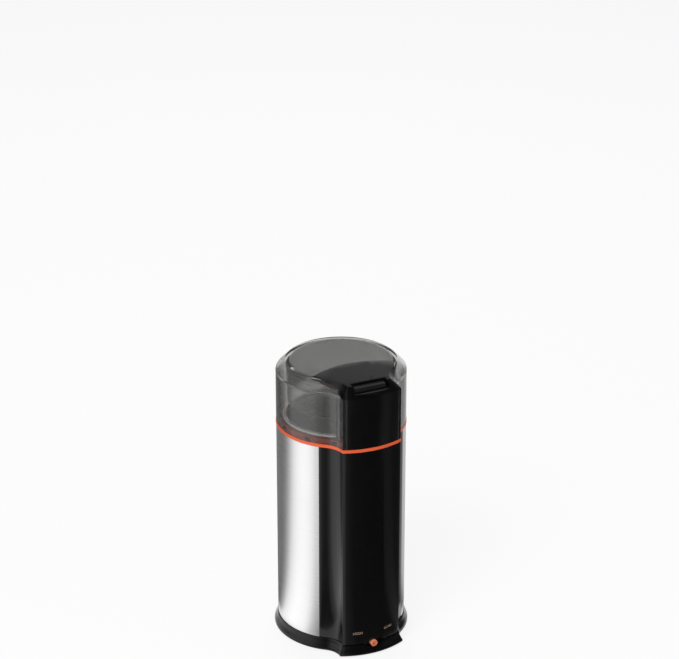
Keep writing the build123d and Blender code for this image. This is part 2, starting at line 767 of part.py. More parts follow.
with BuildPart() as upper_bracket:
    with BuildSketch(Plane.XY.offset(upper_bracket_bottom)):
        Circle(upper_bracket_radius)
        with PolarLocations(bracket_vent_ring_radius, bracket_vent_count, 180 / bracket_vent_count):
            SlotOverall(bracket_vent_length, bracket_vent_width, mode=Mode.SUBTRACT)
        with PolarLocations(mount_ring_radius, mount_count):
            Circle(mount_screw_radius + fit_gap, mode=Mode.SUBTRACT)
    extrude(amount=bracket_thickness)
    with BuildSketch(Plane.XY.offset(upper_bracket_bottom)):
        Circle(upper_bearing_radius + bearing_boss_wall)
    extrude(amount=upper_boss_top - upper_bracket_bottom)
    with BuildSketch(Plane.XY.offset(stack_top)):
        with GridLocations(bolt_spacing_x, bolt_spacing_y, 2, 2):
            Circle(leg_radius)
    extrude(amount=upper_leg_length)
    with BuildSketch(Plane.XY.offset(upper_bracket_bottom)):
        Circle(upper_bearing_radius + press_gap)
    extrude(amount=upper_bearing_height, mode=Mode.SUBTRACT)
    with BuildSketch(Plane.XY.offset(upper_bracket_bottom)):
        Circle(shaft_radius + slide_gap)
    extrude(amount=upper_boss_top - upper_bracket_bottom, mode=Mode.SUBTRACT)
    with BuildSketch(Plane.XY.offset(stack_top)):
        with GridLocations(bolt_spacing_x, bolt_spacing_y, 2, 2):
            Circle(bolt_radius + running_gap)
    extrude(amount=upper_leg_length + bracket_thickness, mode=Mode.SUBTRACT)

with BuildPart() as lower_bracket:
    with BuildSketch(Plane.XY.offset(lower_bracket_bottom)):
        RectangleRounded(stack_width, stack_depth, stack_corner_radius)
        with PolarLocations(bracket_vent_ring_radius, bracket_vent_count // 2, 360 / bracket_vent_count):
            SlotOverall(bracket_vent_length, bracket_vent_width, mode=Mode.SUBTRACT)
    extrude(amount=bracket_thickness)
    with BuildSketch(Plane.XY.offset(lower_boss_bottom)):
        Circle(lower_bearing_radius + bearing_boss_wall)
    extrude(amount=lower_bracket_top - lower_boss_bottom)
    with BuildSketch(Plane.XY.offset(lower_bracket_top)):
        with GridLocations(bolt_spacing_x, bolt_spacing_y, 2, 2):
            Circle(leg_radius)
    extrude(amount=lower_leg_length)
    with BuildSketch(Plane.XY.offset(lower_bracket_top)):
        with Locations((0, brush_middle), (0, -brush_middle)):
            Rectangle(brush_pad_width, holder_length)
    extrude(amount=brush_centre_height - brush_height / 2 - holder_wall - fit_gap - lower_bracket_top)
    with BuildSketch(Plane.XY.offset(lower_bracket_top)):
        Circle(lower_bearing_radius + press_gap)
    extrude(amount=-lower_bearing_height, mode=Mode.SUBTRACT)
    with BuildSketch(Plane.XY.offset(lower_boss_bottom)):
        Circle(shaft_radius + slide_gap)
    extrude(amount=lower_bracket_top - lower_boss_bottom, mode=Mode.SUBTRACT)
    with BuildSketch(Plane.XY.offset(lower_bracket_bottom)):
        with GridLocations(bolt_spacing_x, bolt_spacing_y, 2, 2):
            Circle(bolt_radius + running_gap)
    extrude(amount=lower_leg_length + bracket_thickness, mode=Mode.SUBTRACT)

# Four long bolts clamp both brackets to the stack, with a nut on top of each.
with BuildPart() as motor_bolts:
    with BuildSketch(Plane.XY.offset(lower_bracket_bottom)):
        with GridLocations(bolt_spacing_x, bolt_spacing_y, 2, 2):
            RegularPolygon(bolt_head_radius, 6)
    extrude(amount=-bolt_head_height)
    with BuildSketch(Plane.XY.offset(lower_bracket_bottom)):
        with GridLocations(bolt_spacing_x, bolt_spacing_y, 2, 2):
            Circle(bolt_radius)
    extrude(amount=upper_bracket_top - lower_bracket_bottom)
    with BuildSketch(Plane.XY.offset(upper_bracket_top)):
        with GridLocations(bolt_spacing_x, bolt_spacing_y, 2, 2):
            RegularPolygon(bolt_head_radius, 6)
    extrude(amount=bolt_head_height)

# Two poles face the rotor from -X and +X, joined by a yoke.
with BuildPart() as motor_stator:
    with BuildSketch(Plane.XY.offset(stack_bottom)):
        RectangleRounded(stack_width, stack_depth, stack_corner_radius)
        Circle(yoke_inner_radius, mode=Mode.SUBTRACT)
        Rectangle(2 * yoke_inner_radius, pole_width)
        for pole_angle in (-90, 90):
            shoe_inner = rotor_radius + air_gap
            shoe_angles = (pole_angle - pole_shoe_angle, pole_angle + pole_shoe_angle)
            add(ring_sector(shoe_inner, shoe_inner + pole_shoe_thickness, *shoe_angles))
        Circle(rotor_radius + air_gap, mode=Mode.SUBTRACT)
        with GridLocations(bolt_spacing_x, bolt_spacing_y, 2, 2):
            Circle(bolt_radius + running_gap, mode=Mode.SUBTRACT)
    extrude(amount=stack_height)

with BuildPart() as field_coils:
    with BuildSketch(Plane.XY.offset(stack_bottom - coil_overhang)):
        for pole_angle in (-90, 90):
            coil_angles = (pole_angle - coil_angle, pole_angle + coil_angle)
            add(ring_sector(coil_inner_radius, coil_outer_radius, *coil_angles))
    extrude(amount=stack_height + 2 * coil_overhang)
    with BuildSketch(Plane.XY.offset(stack_bottom - fit_gap)):
        Rectangle(2 * yoke_inner_radius + overrun, pole_width + 2 * fit_gap)
    extrude(amount=stack_height + 2 * fit_gap, mode=Mode.SUBTRACT)

with BuildPart() as upper_bearing:
    with BuildSketch(Plane.XY.offset(upper_bracket_bottom)):
        Circle(upper_bearing_radius)
        Circle(shaft_radius + running_gap, mode=Mode.SUBTRACT)
    extrude(amount=upper_bearing_height - press_gap)
    chamfer(upper_bearing.edges().filter_by(GeomType.CIRCLE).sort_by(SortBy.RADIUS)[-2:], bearing_chamfer)

with BuildPart() as lower_bearing:
    with BuildSketch(Plane.XY.offset(lower_bracket_top)):
        Circle(lower_bearing_radius)
        Circle(shaft_radius + running_gap, mode=Mode.SUBTRACT)
    extrude(amount=press_gap - lower_bearing_height)
    chamfer(lower_bearing.edges().filter_by(GeomType.CIRCLE).sort_by(SortBy.RADIUS)[-2:], bearing_chamfer)

# Brushes press on the commutator from the front and the back, each in a brass tube with a closed end.
brush_end = commutator_radius + brush_contact_gap + brush_length
with BuildPart() as brush_holders:
    for side in (-1, 1):
        with Locations((0, side * brush_middle, brush_centre_height)):
            Box(
                brush_width + 2 * fit_gap + 2 * holder_wall,
                holder_length,
                brush_height + 2 * fit_gap + 2 * holder_wall,
            )
        with Locations((0, side * (brush_middle - holder_wall), brush_centre_height)):
            Box(brush_width + 2 * fit_gap, holder_length, brush_height + 2 * fit_gap, mode=Mode.SUBTRACT)

with BuildPart() as carbon_brushes:
    with BuildSketch(Plane.XY.offset(brush_centre_height - brush_height / 2)):
        Rectangle(brush_width, 2 * brush_end)
        Circle(commutator_radius + brush_contact_gap, mode=Mode.SUBTRACT)
    extrude(amount=brush_height)

brush_spring_length = brush_middle + holder_length / 2 - holder_wall - brush_end - 2 * fit_gap
brush_seat = Plane(
    origin=(0, brush_end + fit_gap + brush_spring_wire / 2, brush_centre_height),
    x_dir=(1, 0, 0),
    z_dir=(0, 1, 0),
)
brush_climb = brush_spring_length - brush_spring_wire
brush_coil = coil_curve(brush_seat, brush_spring_radius, brush_climb, brush_spring_turns)
with BuildPart() as brush_springs:
    with BuildSketch(Plane(origin=brush_coil @ 0, z_dir=brush_coil % 0)):
        Circle(brush_spring_wire / 2)
    sweep(path=brush_coil)
    mirror(about=Plane.XZ)

# Rotor: everything that turns in the two bearings

with BuildPart() as motor_shaft:
    with BuildSketch(Plane.XY.offset(lower_boss_bottom)):
        Circle(shaft_radius)
    extrude(amount=coupling_disc_top - shaft_tip_drop - lower_boss_bottom)
    chamfer(motor_shaft.edges().filter_by(GeomType.CIRCLE), shaft_chamfer)

with BuildPart() as rotor_core:
    with BuildSketch(Plane.XY.offset(stack_bottom)):
        Circle(rotor_radius)
        Circle(shaft_radius + press_gap, mode=Mode.SUBTRACT)
        with PolarLocations(rotor_radius, rotor_slots):
            Rectangle(2 * rotor_slot_depth, rotor_slot_width, mode=Mode.SUBTRACT)
    extrude(amount=stack_height)

with BuildPart() as rotor_windings:
    for winding_bottom in (stack_bottom - winding_height, stack_top):
        with BuildSketch(Plane.XY.offset(winding_bottom)):
            Circle(winding_radius)
            Circle(shaft_radius + fit_gap, mode=Mode.SUBTRACT)
        extrude(amount=winding_height)
    fillet(rotor_windings.edges().filter_by(GeomType.CIRCLE).sort_by(SortBy.RADIUS)[-4:], winding_corner)

with BuildPart() as commutator:
    with BuildSketch(Plane.XY.offset(commutator_bottom)):
        Circle(commutator_radius)
        Circle(shaft_radius + press_gap, mode=Mode.SUBTRACT)
        with PolarLocations(commutator_radius, commutator_bars):
            Rectangle(2 * commutator_cut_depth, commutator_cut_width, mode=Mode.SUBTRACT)
    extrude(amount=commutator_height)

fan_top = upper_bracket_bottom - fan_bracket_gap
with BuildPart() as cooling_fan:
    with BuildSketch(Plane.XY.offset(fan_top - fan_disc_thickness)):
        Circle(fan_radius)
    extrude(amount=fan_disc_thickness)
    with BuildSketch(Plane.XY.offset(fan_top - fan_height)):
        Circle(fan_hub_radius)
        with PolarLocations((fan_hub_radius + fan_radius) / 2 - fan_blade_thickness, fan_blades):
            Rectangle(fan_radius - fan_hub_radius, fan_blade_thickness)
    extrude(amount=fan_height)
    with BuildSketch(Plane.XY.offset(fan_top - fan_height)):
        Circle(shaft_radius + press_gap)
    extrude(amount=fan_height, mode=Mode.SUBTRACT)

# The lower coupling stands in the well's floor, with dogs that point up into the bowl's base.
with BuildPart() as drive_coupling:
    with BuildSketch(Plane.XY.offset(coupling_bottom)):
        Circle(coupling_radius)
    extrude(amount=coupling_disc_height)
    with BuildSketch(Plane.XY.offset(coupling_disc_top)):
        for dog in range(dog_count):
            dog_middle = 360 / dog_count * dog
            dog_angles = (dog_middle - dog_angle / 2, dog_middle + dog_angle / 2)
            add(ring_sector(coupling_dog_radius, coupling_radius, *dog_angles))
    extrude(amount=dog_height)
    with BuildSketch(Plane.XY.offset(coupling_bottom)):
        Circle(shaft_radius + press_gap)
    extrude(amount=coupling_disc_height - shaft_tip_drop, mode=Mode.SUBTRACT)

# Bowl: drawn steel cup, moulded base, gasket, bush and nut

# The cup's wall tapers to a foot that nests in the base's rim. A bead under the turned-down rim leaves
# a step ring inside.
nest_radius = bowl_foot_radius - bowl_nest_inset
bead_bottom = rim_bottom - bowl_bead_height
half_sheet = bowl_sheet / 2
with BuildLine():
    sheet_line = FilletPolyline(
        (bush_radius + press_gap + half_sheet, bowl_floor_bottom + half_sheet),
        (nest_radius - half_sheet, bowl_floor_bottom + half_sheet),
        (nest_radius - half_sheet, bowl_base_top + seat_gap + half_sheet),
        (bowl_foot_radius - half_sheet, bowl_base_top + seat_gap + half_sheet),
        (bowl_top_radius - half_sheet, bead_bottom),
        (bowl_bead_radius - half_sheet, bead_bottom + bowl_sheet),
        (bowl_bead_radius - half_sheet, rim_top - half_sheet),
        (bowl_rim_radius - half_sheet, rim_top - half_sheet),
        (bowl_rim_radius - half_sheet, rim_bottom + half_sheet),
        radius=bowl_sheet * bend_share,
    )
with BuildPart() as grinding_bowl:
    with BuildSketch(Plane.XZ):
        with BuildLine():
            offset(sheet_line, amount=half_sheet)
        make_face()
    revolve(axis=Axis.Z)

with BuildPart() as bowl_base:
    deck_bottom = bowl_floor_bottom - bowl_deck_thickness
    with BuildSketch(Plane.XY.offset(bowl_base_bottom)):
        Circle(bowl_foot_radius)
    extrude(amount=bowl_base_height)
    with BuildSketch(Plane.XY.offset(bowl_floor_bottom)):
        Circle(nest_radius + fit_gap)
    extrude(amount=bowl_nest_depth, mode=Mode.SUBTRACT)
    with BuildSketch(Plane.XY.offset(bowl_base_bottom)):
        Circle(bowl_foot_radius - bowl_base_wall)
    extrude(amount=deck_bottom - bowl_base_bottom, mode=Mode.SUBTRACT)
    with BuildSketch(Plane.XY.offset(deck_bottom)):
        Circle(bush_radius + press_gap)
    extrude(amount=bowl_deck_thickness, mode=Mode.SUBTRACT)
    with BuildSketch(Plane.XY.offset(bowl_base_top - base_groove_height)):
        Circle(bowl_foot_radius + overrun)
        Circle(bowl_foot_radius - base_groove_depth, mode=Mode.SUBTRACT)
    extrude(amount=base_groove_height, mode=Mode.SUBTRACT)
    slot_inner = well_foot_radius - key_reach - slide_gap
    slot_outer = bowl_foot_radius + overrun
    slot_top = key_rise + key_height / 2 + slide_gap
    slot_low = key_rise - key_height / 2 - slide_gap
    key_half_angle = degrees((key_width / 2 + slide_gap) / bowl_foot_radius)
    for key in range(key_count):
        middle = key_angle + 360 / key_count * key
        with BuildSketch(Plane.XY.offset(bowl_base_bottom)):
            add(ring_sector(slot_inner, slot_outer, middle - key_half_angle, middle + key_half_angle))
        extrude(amount=slot_top, mode=Mode.SUBTRACT)
        with BuildSketch(Plane.XY.offset(bowl_base_bottom + slot_low)):
            add(ring_sector(slot_inner, slot_outer, middle, middle + lock_angle))
        extrude(amount=slot_top - slot_low, mode=Mode.SUBTRACT)

with BuildPart() as floor_gasket:
    with BuildSketch(Plane.XY.offset(bowl_floor_top)):
        Circle(bush_flange_radius)
        Circle(bush_radius + press_gap, mode=Mode.SUBTRACT)
    extrude(amount=gasket_thickness)

with BuildPart() as spindle_bush:
    with BuildSketch(Plane.XY.offset(bush_flange_bottom)):
        Circle(bush_flange_radius)
    extrude(amount=bush_flange_thickness)
    chamfer(spindle_bush.edges().group_by(Axis.Z)[-1], bush_flange_thickness / 2)
    with BuildSketch(Plane.XY.offset(bush_flange_bottom)):
        Circle(bush_radius)
    extrude(amount=-bush_length)
    with BuildSketch(Plane.XY.offset(bush_flange_top)):
        Circle(spindle_radius + running_gap)
    extrude(amount=-bush_length - bush_flange_thickness, mode=Mode.SUBTRACT)

with BuildPart() as bush_nut:
    with BuildSketch(Plane.XY.offset(bowl_floor_bottom - bowl_deck_thickness)):
        RegularPolygon(bush_nut_width / 2, 6, major_radius=False)
        Circle(bush_radius + press_gap, mode=Mode.SUBTRACT)
    extrude(amount=-bush_nut_height)

# Blade, spindle, nut and the upper coupling turn together in the bush

with BuildPart() as blade_spindle:
    with BuildSketch(Plane.XY.offset(driven_disc_bottom)):
        Circle(spindle_radius)
    extrude(amount=blade_bottom - driven_disc_bottom)
    with BuildSketch(Plane.XY.offset(blade_bottom)):
        Circle(spindle_tip_radius)
    extrude(amount=blade_thickness + blade_nut_height - shaft_chamfer)
    chamfer(blade_spindle.edges().group_by(Axis.Z)[-1], shaft_chamfer)

# A flat hub with two arms. Each arm ends in a wing that is bent up.
with BuildPart() as grinder_blade:
    with BuildSketch(Plane.XY.offset(blade_bottom)):
        SlotOverall(blade_hub_length, blade_width)
    extrude(amount=blade_thickness)
    wing_root = blade_hub_length / 2 - blade_width / 4
    wing_length = (blade_span_radius - wing_root) / cos(radians(blade_tip_tilt))
    for turn in (0, 180):
        tilt = Plane.XY.offset(blade_bottom).rotated((0, 0, turn))
        wing_plane = Plane(
            origin=tilt.from_local_coords((wing_root, 0, 0)),
            x_dir=tilt.x_dir.rotate(Axis(tilt.origin, tilt.y_dir), -blade_tip_tilt),
            z_dir=tilt.z_dir.rotate(Axis(tilt.origin, tilt.y_dir), -blade_tip_tilt),
        )
        with BuildSketch(wing_plane):
            Polygon(
                (0, -blade_width / 2),
                (wing_length, -blade_tip_width / 4),
                (wing_length, blade_tip_width * 3 / 4),
                (0, blade_width / 2),
                align=None,
            )
        extrude(amount=blade_thickness)
    with BuildSketch(Plane.XY.offset(blade_bottom)):
        Circle(spindle_tip_radius + press_gap)
    extrude(amount=blade_thickness, mode=Mode.SUBTRACT)

with BuildPart() as blade_nut:
    with BuildSketch(Plane.XY.offset(blade_top)):
        RegularPolygon(blade_nut_width / 2, 6, major_radius=False)
    extrude(amount=blade_nut_height)
    with BuildSketch(Plane.XY.offset(blade_top)):
        Circle(spindle_tip_radius + press_gap)
    extrude(amount=blade_nut_height, mode=Mode.SUBTRACT)
    chamfer(blade_nut.edges().group_by(Axis.Z)[-1].filter_by(GeomType.LINE), nut_chamfer)

with BuildPart() as driven_coupling:
    with BuildSketch(Plane.XY.offset(driven_disc_bottom)):
        Circle(coupling_radius)
        Circle(spindle_radius + press_gap, mode=Mode.SUBTRACT)
    extrude(amount=driven_disc_height)
    with BuildSketch(Plane.XY.offset(driven_disc_bottom)):
        for dog in range(dog_count):
            dog_middle = 360 / dog_count * (dog + 1 / 2)
            dog_angles = (dog_middle - dog_angle / 2, dog_middle + dog_angle / 2)
            add(ring_sector(coupling_dog_radius, coupling_radius, *dog_angles))
    extrude(amount=-dog_height)

# Lid: one outer form, cut along the cover's outline into a clear shell and a black front cover

def lid_block(inset, drop):
    """The lid's form with plain shoulders, drawn in by the inset and reaching the drop below its edge."""
    with BuildPart() as block:
        with BuildSketch(Plane.XY.offset(lid_bottom - drop)):
            add(plan(lid_overhang - inset))
        extrude(amount=lid_height - inset + drop)
        chamfer(block.faces().sort_by(Axis.Z)[-1].edges(), shoulder_size)
    return block.part


def cover_outline(gap):
    """Plan of the front cover: an arc across the lid's top, two slanted sides and a straight front part."""
    past_front = -pod_reach - lid_overhang - overrun
    with BuildSketch() as outline:
        with BuildLine():
            left_wing = (-cover_wing_x, -cover_wing_y)
            right_wing = (cover_wing_x, -cover_wing_y)
            ThreePointArc(left_wing, (0, -cover_back_reach), right_wing)
            Polyline(
                right_wing,
                (cover_half_width, -cover_knee_y),
                (cover_half_width, past_front),
                (-cover_half_width, past_front),
                (-cover_half_width, -cover_knee_y),
                left_wing,
            )
        make_face()
        if gap:
            offset(amount=gap, kind=Kind.INTERSECTION)
    return outline.sketch


# The whole lid outside, with rounded shoulders and a slightly domed top, and the space inside it.
inner_block = lid_block(lid_wall, overrun)
with BuildPart() as lid_outside:
    add(lid_block(0, 0))
    fillet(lid_outside.faces().sort_by(Axis.Z)[-1].edges(), shoulder_top_round)
    wall_top = lid_top - shoulder_size
    low_edges = lid_outside.edges().filter_by_position(Axis.Z, wall_top - press_gap, wall_top + press_gap)
    fillet(low_edges, shoulder_low_round)
    dome_base = body_radius - shoulder_size
    dome_radius = (dome_base**2 + lid_dome**2) / (2 * lid_dome)
    with Locations((0, 0, lid_top - dome_radius)):
        Sphere(dome_radius, mode=Mode.INTERSECT)

with BuildPart() as lid_shell:
    add(lid_outside.part)
    add(inner_block, mode=Mode.SUBTRACT)
    with BuildSketch(Plane.XY.offset(lid_bottom - overrun)):
        add(cover_outline(cover_joint))
    extrude(amount=lid_height + 2 * overrun, mode=Mode.SUBTRACT)

# What is hollow behind the cover: the lid's inside, less the casing of the notch and two screw bosses.
with BuildPart() as cover_hollow:
    add(inner_block)
    casing_half_width = notch_half_width + notch_wall
    casing_depth = pod_reach - notch_back + notch_wall
    with BuildSketch(Plane.XY.offset(notch_floor_bottom)):
        with Locations((0, -notch_back + notch_wall - casing_depth / 2)):
            Rectangle(2 * casing_half_width, casing_depth)
        with Locations((-guide_boss_x, -guide_boss_reach), (guide_boss_x, -guide_boss_reach)):
            Circle(guide_boss_radius)
    extrude(amount=notch_depth + notch_wall, mode=Mode.SUBTRACT)

with BuildPart() as lid_cover:
    add(lid_outside.part)
    with BuildSketch(Plane.XY.offset(lid_bottom - overrun)):
        add(cover_outline(0))
    extrude(amount=lid_height + 2 * overrun, mode=Mode.INTERSECT)
    add(cover_hollow.part, mode=Mode.SUBTRACT)
    with BuildSketch(Plane.XY.offset(notch_floor)):
        with Locations((0, -notch_back - pod_reach / 2)):
            Rectangle(2 * notch_half_width, pod_reach)
    extrude(amount=notch_depth + overrun, mode=Mode.SUBTRACT)
    with BuildSketch(Plane.XY.offset(notch_floor_bottom)):
        with Locations((0, -notch_back - fit_gap - button_depth / 2)):
            Rectangle(2 * (button_half_width + slide_gap), button_depth + 2 * fit_gap)
    extrude(amount=notch_wall, mode=Mode.SUBTRACT)
    with BuildSketch(Plane.XY.offset(notch_floor_bottom)):
        with Locations((-guide_boss_x, -guide_boss_reach), (guide_boss_x, -guide_boss_reach)):
            Circle(guide_screw_radius + press_gap)
    extrude(amount=guide_screw_bite, mode=Mode.SUBTRACT)

# An inner cup of the same smoked plastic hangs from the lid's top.
with BuildPart() as lid_liner:
    liner_top = lid_top - lid_wall - fit_gap
    with BuildSketch(Plane.XY.offset(lid_bottom + liner_lift)):
        Circle(liner_radius)
    extrude(amount=liner_top - lid_bottom - liner_lift)
    chamfer(lid_liner.faces().sort_by(Axis.Z)[-1].edges(), liner_shoulder)
    offset(amount=-liner_wall, openings=lid_liner.faces().sort_by(Axis.Z)[0])

with BuildPart() as press_guide:
    with BuildSketch(Plane.XY.offset(guide_top)):
        add(plan(lid_overhang - lid_wall - slide_gap))
        with Locations((0, -guide_back - pod_reach / 2)):
            Rectangle(2 * (guide_boss_x + guide_boss_radius), pod_reach, mode=Mode.INTERSECT)
        with Locations((0, -actuator_reach)):
            slot_width = actuator_width + 2 * slide_gap
            Rectangle(slot_width, actuator_thickness + 2 * slide_gap, mode=Mode.SUBTRACT)
    extrude(amount=-guide_thickness)
    with BuildSketch(Plane.XY.offset(guide_top)):
        with Locations((-guide_boss_x, -guide_boss_reach), (guide_boss_x, -guide_boss_reach)):
            Circle(guide_boss_radius)
    extrude(amount=notch_floor_bottom - guide_top)
    with BuildSketch(Plane.XY.offset(guide_top - guide_thickness)):
        with Locations((-guide_boss_x, -guide_boss_reach), (guide_boss_x, -guide_boss_reach)):
            Circle(guide_screw_radius + fit_gap)
    extrude(amount=notch_floor_bottom - guide_top + guide_thickness, mode=Mode.SUBTRACT)

with BuildPart() as guide_screws:
    with BuildSketch(Plane.XY.offset(guide_top - guide_thickness)):
        with Locations((-guide_boss_x, -guide_boss_reach), (guide_boss_x, -guide_boss_reach)):
            Circle(guide_screw_head_radius)
    extrude(amount=-guide_screw_head_height)
    with BuildSketch(Plane.XY.offset(guide_top - guide_thickness)):
        with Locations((-guide_boss_x, -guide_boss_reach), (guide_boss_x, -guide_boss_reach)):
            Circle(guide_screw_radius)
    extrude(amount=notch_floor_bottom - guide_top + guide_thickness + guide_screw_bite - fit_gap)

# Press button and its actuator blade move down together against the press spring

with BuildPart() as press_button:
    button_back = notch_back + fit_gap
    with BuildSketch(Plane.XY.offset(button_bottom)):
        with Locations((0, -button_back - button_depth / 2)):
            Rectangle(2 * button_half_width, button_depth)
    extrude(amount=notch_floor + press_travel - button_bottom)
    fillet(press_button.edges().group_by(Axis.Z)[-1], button_edge_round)
    flange_back = button_back - button_flange
    with BuildSketch(Plane.XY.offset(button_bottom)):
        with Locations((0, -(flange_back + button_flange_reach) / 2)):
            Rectangle(2 * (button_half_width + button_flange), button_flange_reach - flange_back)
        with Locations((0, -(flange_back + button_tab_reach) / 2)):
            Rectangle(2 * button_tab_half_width, button_tab_reach - flange_back)
    extrude(amount=button_flange_thickness)
    with BuildSketch(Plane.XY.offset(button_bottom)):
        with Locations((0, -actuator_reach)):
            Rectangle(actuator_width + 2 * press_gap, actuator_thickness + 2 * press_gap)
    extrude(amount=button_flange_thickness / 2, mode=Mode.SUBTRACT)

with BuildPart() as actuator_blade:
    actuator_tip = ring_top + actuator_tip_gap
    with BuildSketch(Plane.XY.offset(actuator_tip)):
        with Locations((0, -actuator_reach)):
            Rectangle(actuator_width, actuator_thickness)
    extrude(amount=button_bottom + button_flange_thickness / 2 - actuator_tip)

press_seat = Plane((0, -actuator_reach, guide_top + fit_gap + press_spring_wire / 2))
press_climb = button_bottom - guide_top - 2 * fit_gap - press_spring_wire
press_coil = coil_curve(press_seat, press_spring_radius, press_climb, press_spring_turns)
with BuildPart() as press_spring:
    with BuildSketch(Plane(origin=press_coil @ 0, z_dir=press_coil % 0)):
        Circle(press_spring_wire / 2)
    sweep(path=press_coil)

# Interlock in the pod: the actuator pushes the plunger, and the plunger pushes the switch's stem

with BuildPart() as interlock_plunger:
    with BuildSketch(Plane.XY.offset(plunger_shoulder_bottom)):
        with Locations((0, -actuator_reach)):
            Rectangle(plunger_blade_width, plunger_blade_thickness)
    extrude(amount=plunger_top - plunger_shoulder_bottom)
    with BuildSketch(Plane.XY.offset(plunger_shoulder_bottom)):
        with Locations((0, -actuator_reach)):
            Rectangle(plunger_shoulder_width, plunger_shoulder_depth)
    extrude(amount=plunger_shoulder_height)
    with BuildSketch(Plane.XY.offset(plunger_shoulder_bottom)):
        with Locations((0, -actuator_reach)):
            Circle(plunger_rod_radius)
    extrude(amount=-plunger_rod_length)

with BuildPart() as switch_stem:
    with BuildSketch(Plane.XY.offset(interlock_top - switch_stem_hidden)):
        with Locations((0, -actuator_reach)):
            Circle(switch_stem_radius)
    extrude(amount=plunger_rod_bottom - interlock_top + switch_stem_hidden)

plunger_seat = Plane((0, -actuator_reach, spring_plate_top + fit_gap + plunger_spring_wire / 2))
plunger_climb = plunger_spring_length - 2 * fit_gap - plunger_spring_wire
plunger_coil = coil_curve(plunger_seat, plunger_spring_radius, plunger_climb, plunger_spring_turns)
with BuildPart() as plunger_spring:
    with BuildSketch(Plane(origin=plunger_coil @ 0, z_dir=plunger_coil % 0)):
        Circle(plunger_spring_wire / 2)
    sweep(path=plunger_coil)

with BuildPart() as interlock_switch:
    with BuildSketch(Plane.XY.offset(interlock_bottom)):
        with Locations((0, -actuator_reach)):
            Rectangle(interlock_width, interlock_depth)
    extrude(amount=interlock_height)
    with BuildSketch(Plane.XY.offset(interlock_top)):
        with Locations((0, -actuator_reach)):
            Circle(switch_stem_radius + slide_gap)
    extrude(amount=-switch_stem_hidden - press_travel - slide_gap, mode=Mode.SUBTRACT)

# A folded steel strip hangs from the collar's ledge, holds the switch and gives the spring its seat.
with BuildPart() as switch_bracket:
    strip_outer = interlock_width + 2 * fit_gap + 2 * switch_plate
    with BuildSketch(Plane.XY.offset(interlock_bottom - switch_plate)):
        with Locations((0, -actuator_reach)):
            Rectangle(strip_outer, switch_plate_depth)
    extrude(amount=ledge_bottom - interlock_bottom + switch_plate)
    with BuildSketch(Plane.XY.offset(interlock_bottom)):
        with Locations((0, -actuator_reach)):
            Rectangle(strip_outer - 2 * switch_plate, switch_plate_depth)
    extrude(amount=ledge_bottom - interlock_bottom, mode=Mode.SUBTRACT)
    with BuildSketch(Plane.XY.offset(spring_plate_top)):
        with Locations((0, -actuator_reach)):
            Rectangle(strip_outer, 2 * plunger_spring_radius + plunger_spring_wire)
            Circle(plunger_rod_radius + slide_gap, mode=Mode.SUBTRACT)
    extrude(amount=-switch_plate)

# Speed control at the foot of the pod: knob and slider follow the pod's curve

with BuildPart() as speed_knob:
    with BuildSketch(facing(slider_reach, 0, knob_height)):
        Circle(knob_radius)
    extrude(amount=pod_reach + knob_proud - slider_reach)
    knob_face = facing(pod_reach + knob_proud, 0, knob_height)
    chamfer(speed_knob.edges().sort_by(Axis.Y)[0], knob_dish_depth)
    with BuildSketch(knob_face):
        Circle(knob_dish_radius)
    extrude(amount=-knob_dish_depth, mode=Mode.SUBTRACT)

slot_half_length = knob_travel + knob_slot_half_height
slider_half_angle = degrees((slot_half_length + knob_travel + slider_lap) / slider_reach)
with BuildPart() as speed_slider:
    slider_half_height = knob_height - shelf_top - fit_gap
    with BuildSketch(Plane.XY.offset(knob_height - slider_half_height)):
        add(ring_sector(slider_inner, slider_reach, -slider_half_angle, slider_half_angle))
    extrude(amount=2 * slider_half_height)
    with Locations(facing(slider_inner, 0, knob_height)):
        Box(slider_stem_width, slider_stem_width, 2 * slider_stem_length)
    with BuildSketch(Plane.XY.offset(knob_height - slider_half_height)):
        add(ring_sector(slider_reach, pod_reach, -slider_half_angle, slider_half_angle))
    extrude(amount=2 * slider_half_height, mode=Mode.SUBTRACT)

with BuildPart() as speed_switch:
    switch_reach = slider_inner - slide_gap
    with BuildSketch(Plane.XY.offset(shelf_top)):
        switch_back = switch_reach - speed_switch_depth
        add(ring_sector(switch_back, switch_reach, -speed_switch_angle, speed_switch_angle))
    extrude(amount=speed_switch_height)
    stem_inner = slider_inner - slider_stem_length - slide_gap
    stem_angle = knob_swing_angle + degrees((slider_stem_width / 2 + slide_gap) / stem_inner)
    with BuildSketch(Plane.XY.offset(knob_height - slider_stem_width / 2 - slide_gap)):
        add(ring_sector(stem_inner, slider_inner, -stem_angle, stem_angle))
    extrude(amount=slider_stem_width + 2 * slide_gap, mode=Mode.SUBTRACT)

# Control board on the panel's posts, with its capacitors, rectifier and terminal block.
with BuildPart() as control_board:
    board_middle = board_bottom + board_height / 2
    with BuildSketch(Plane.XZ.offset(board_reach)):
        with Locations((0, board_middle)):
            Rectangle(board_width, board_height)
    extrude(amount=-board_thickness)

with BuildPart() as board_components:
    with BuildSketch(Plane.XZ.offset(board_reach - board_thickness)):
        with Locations((-board_width / 4, board_middle), (board_width / 4, board_middle)):
            RectangleRounded(capacitor_width, capacitor_height, capacitor_width / 6)
    extrude(amount=-capacitor_depth)
    with BuildSketch(Plane.XZ.offset(board_reach - board_thickness)):
        with Locations((0, board_bottom + board_height - rectifier_width)):
            Rectangle(rectifier_width, rectifier_width)
    extrude(amount=-rectifier_depth)
    with BuildSketch(Plane.XZ.offset(board_reach - board_thickness)):
        with Locations((0, board_bottom + terminal_height)):
            Rectangle(terminal_width, terminal_height)
    extrude(amount=-terminal_depth)

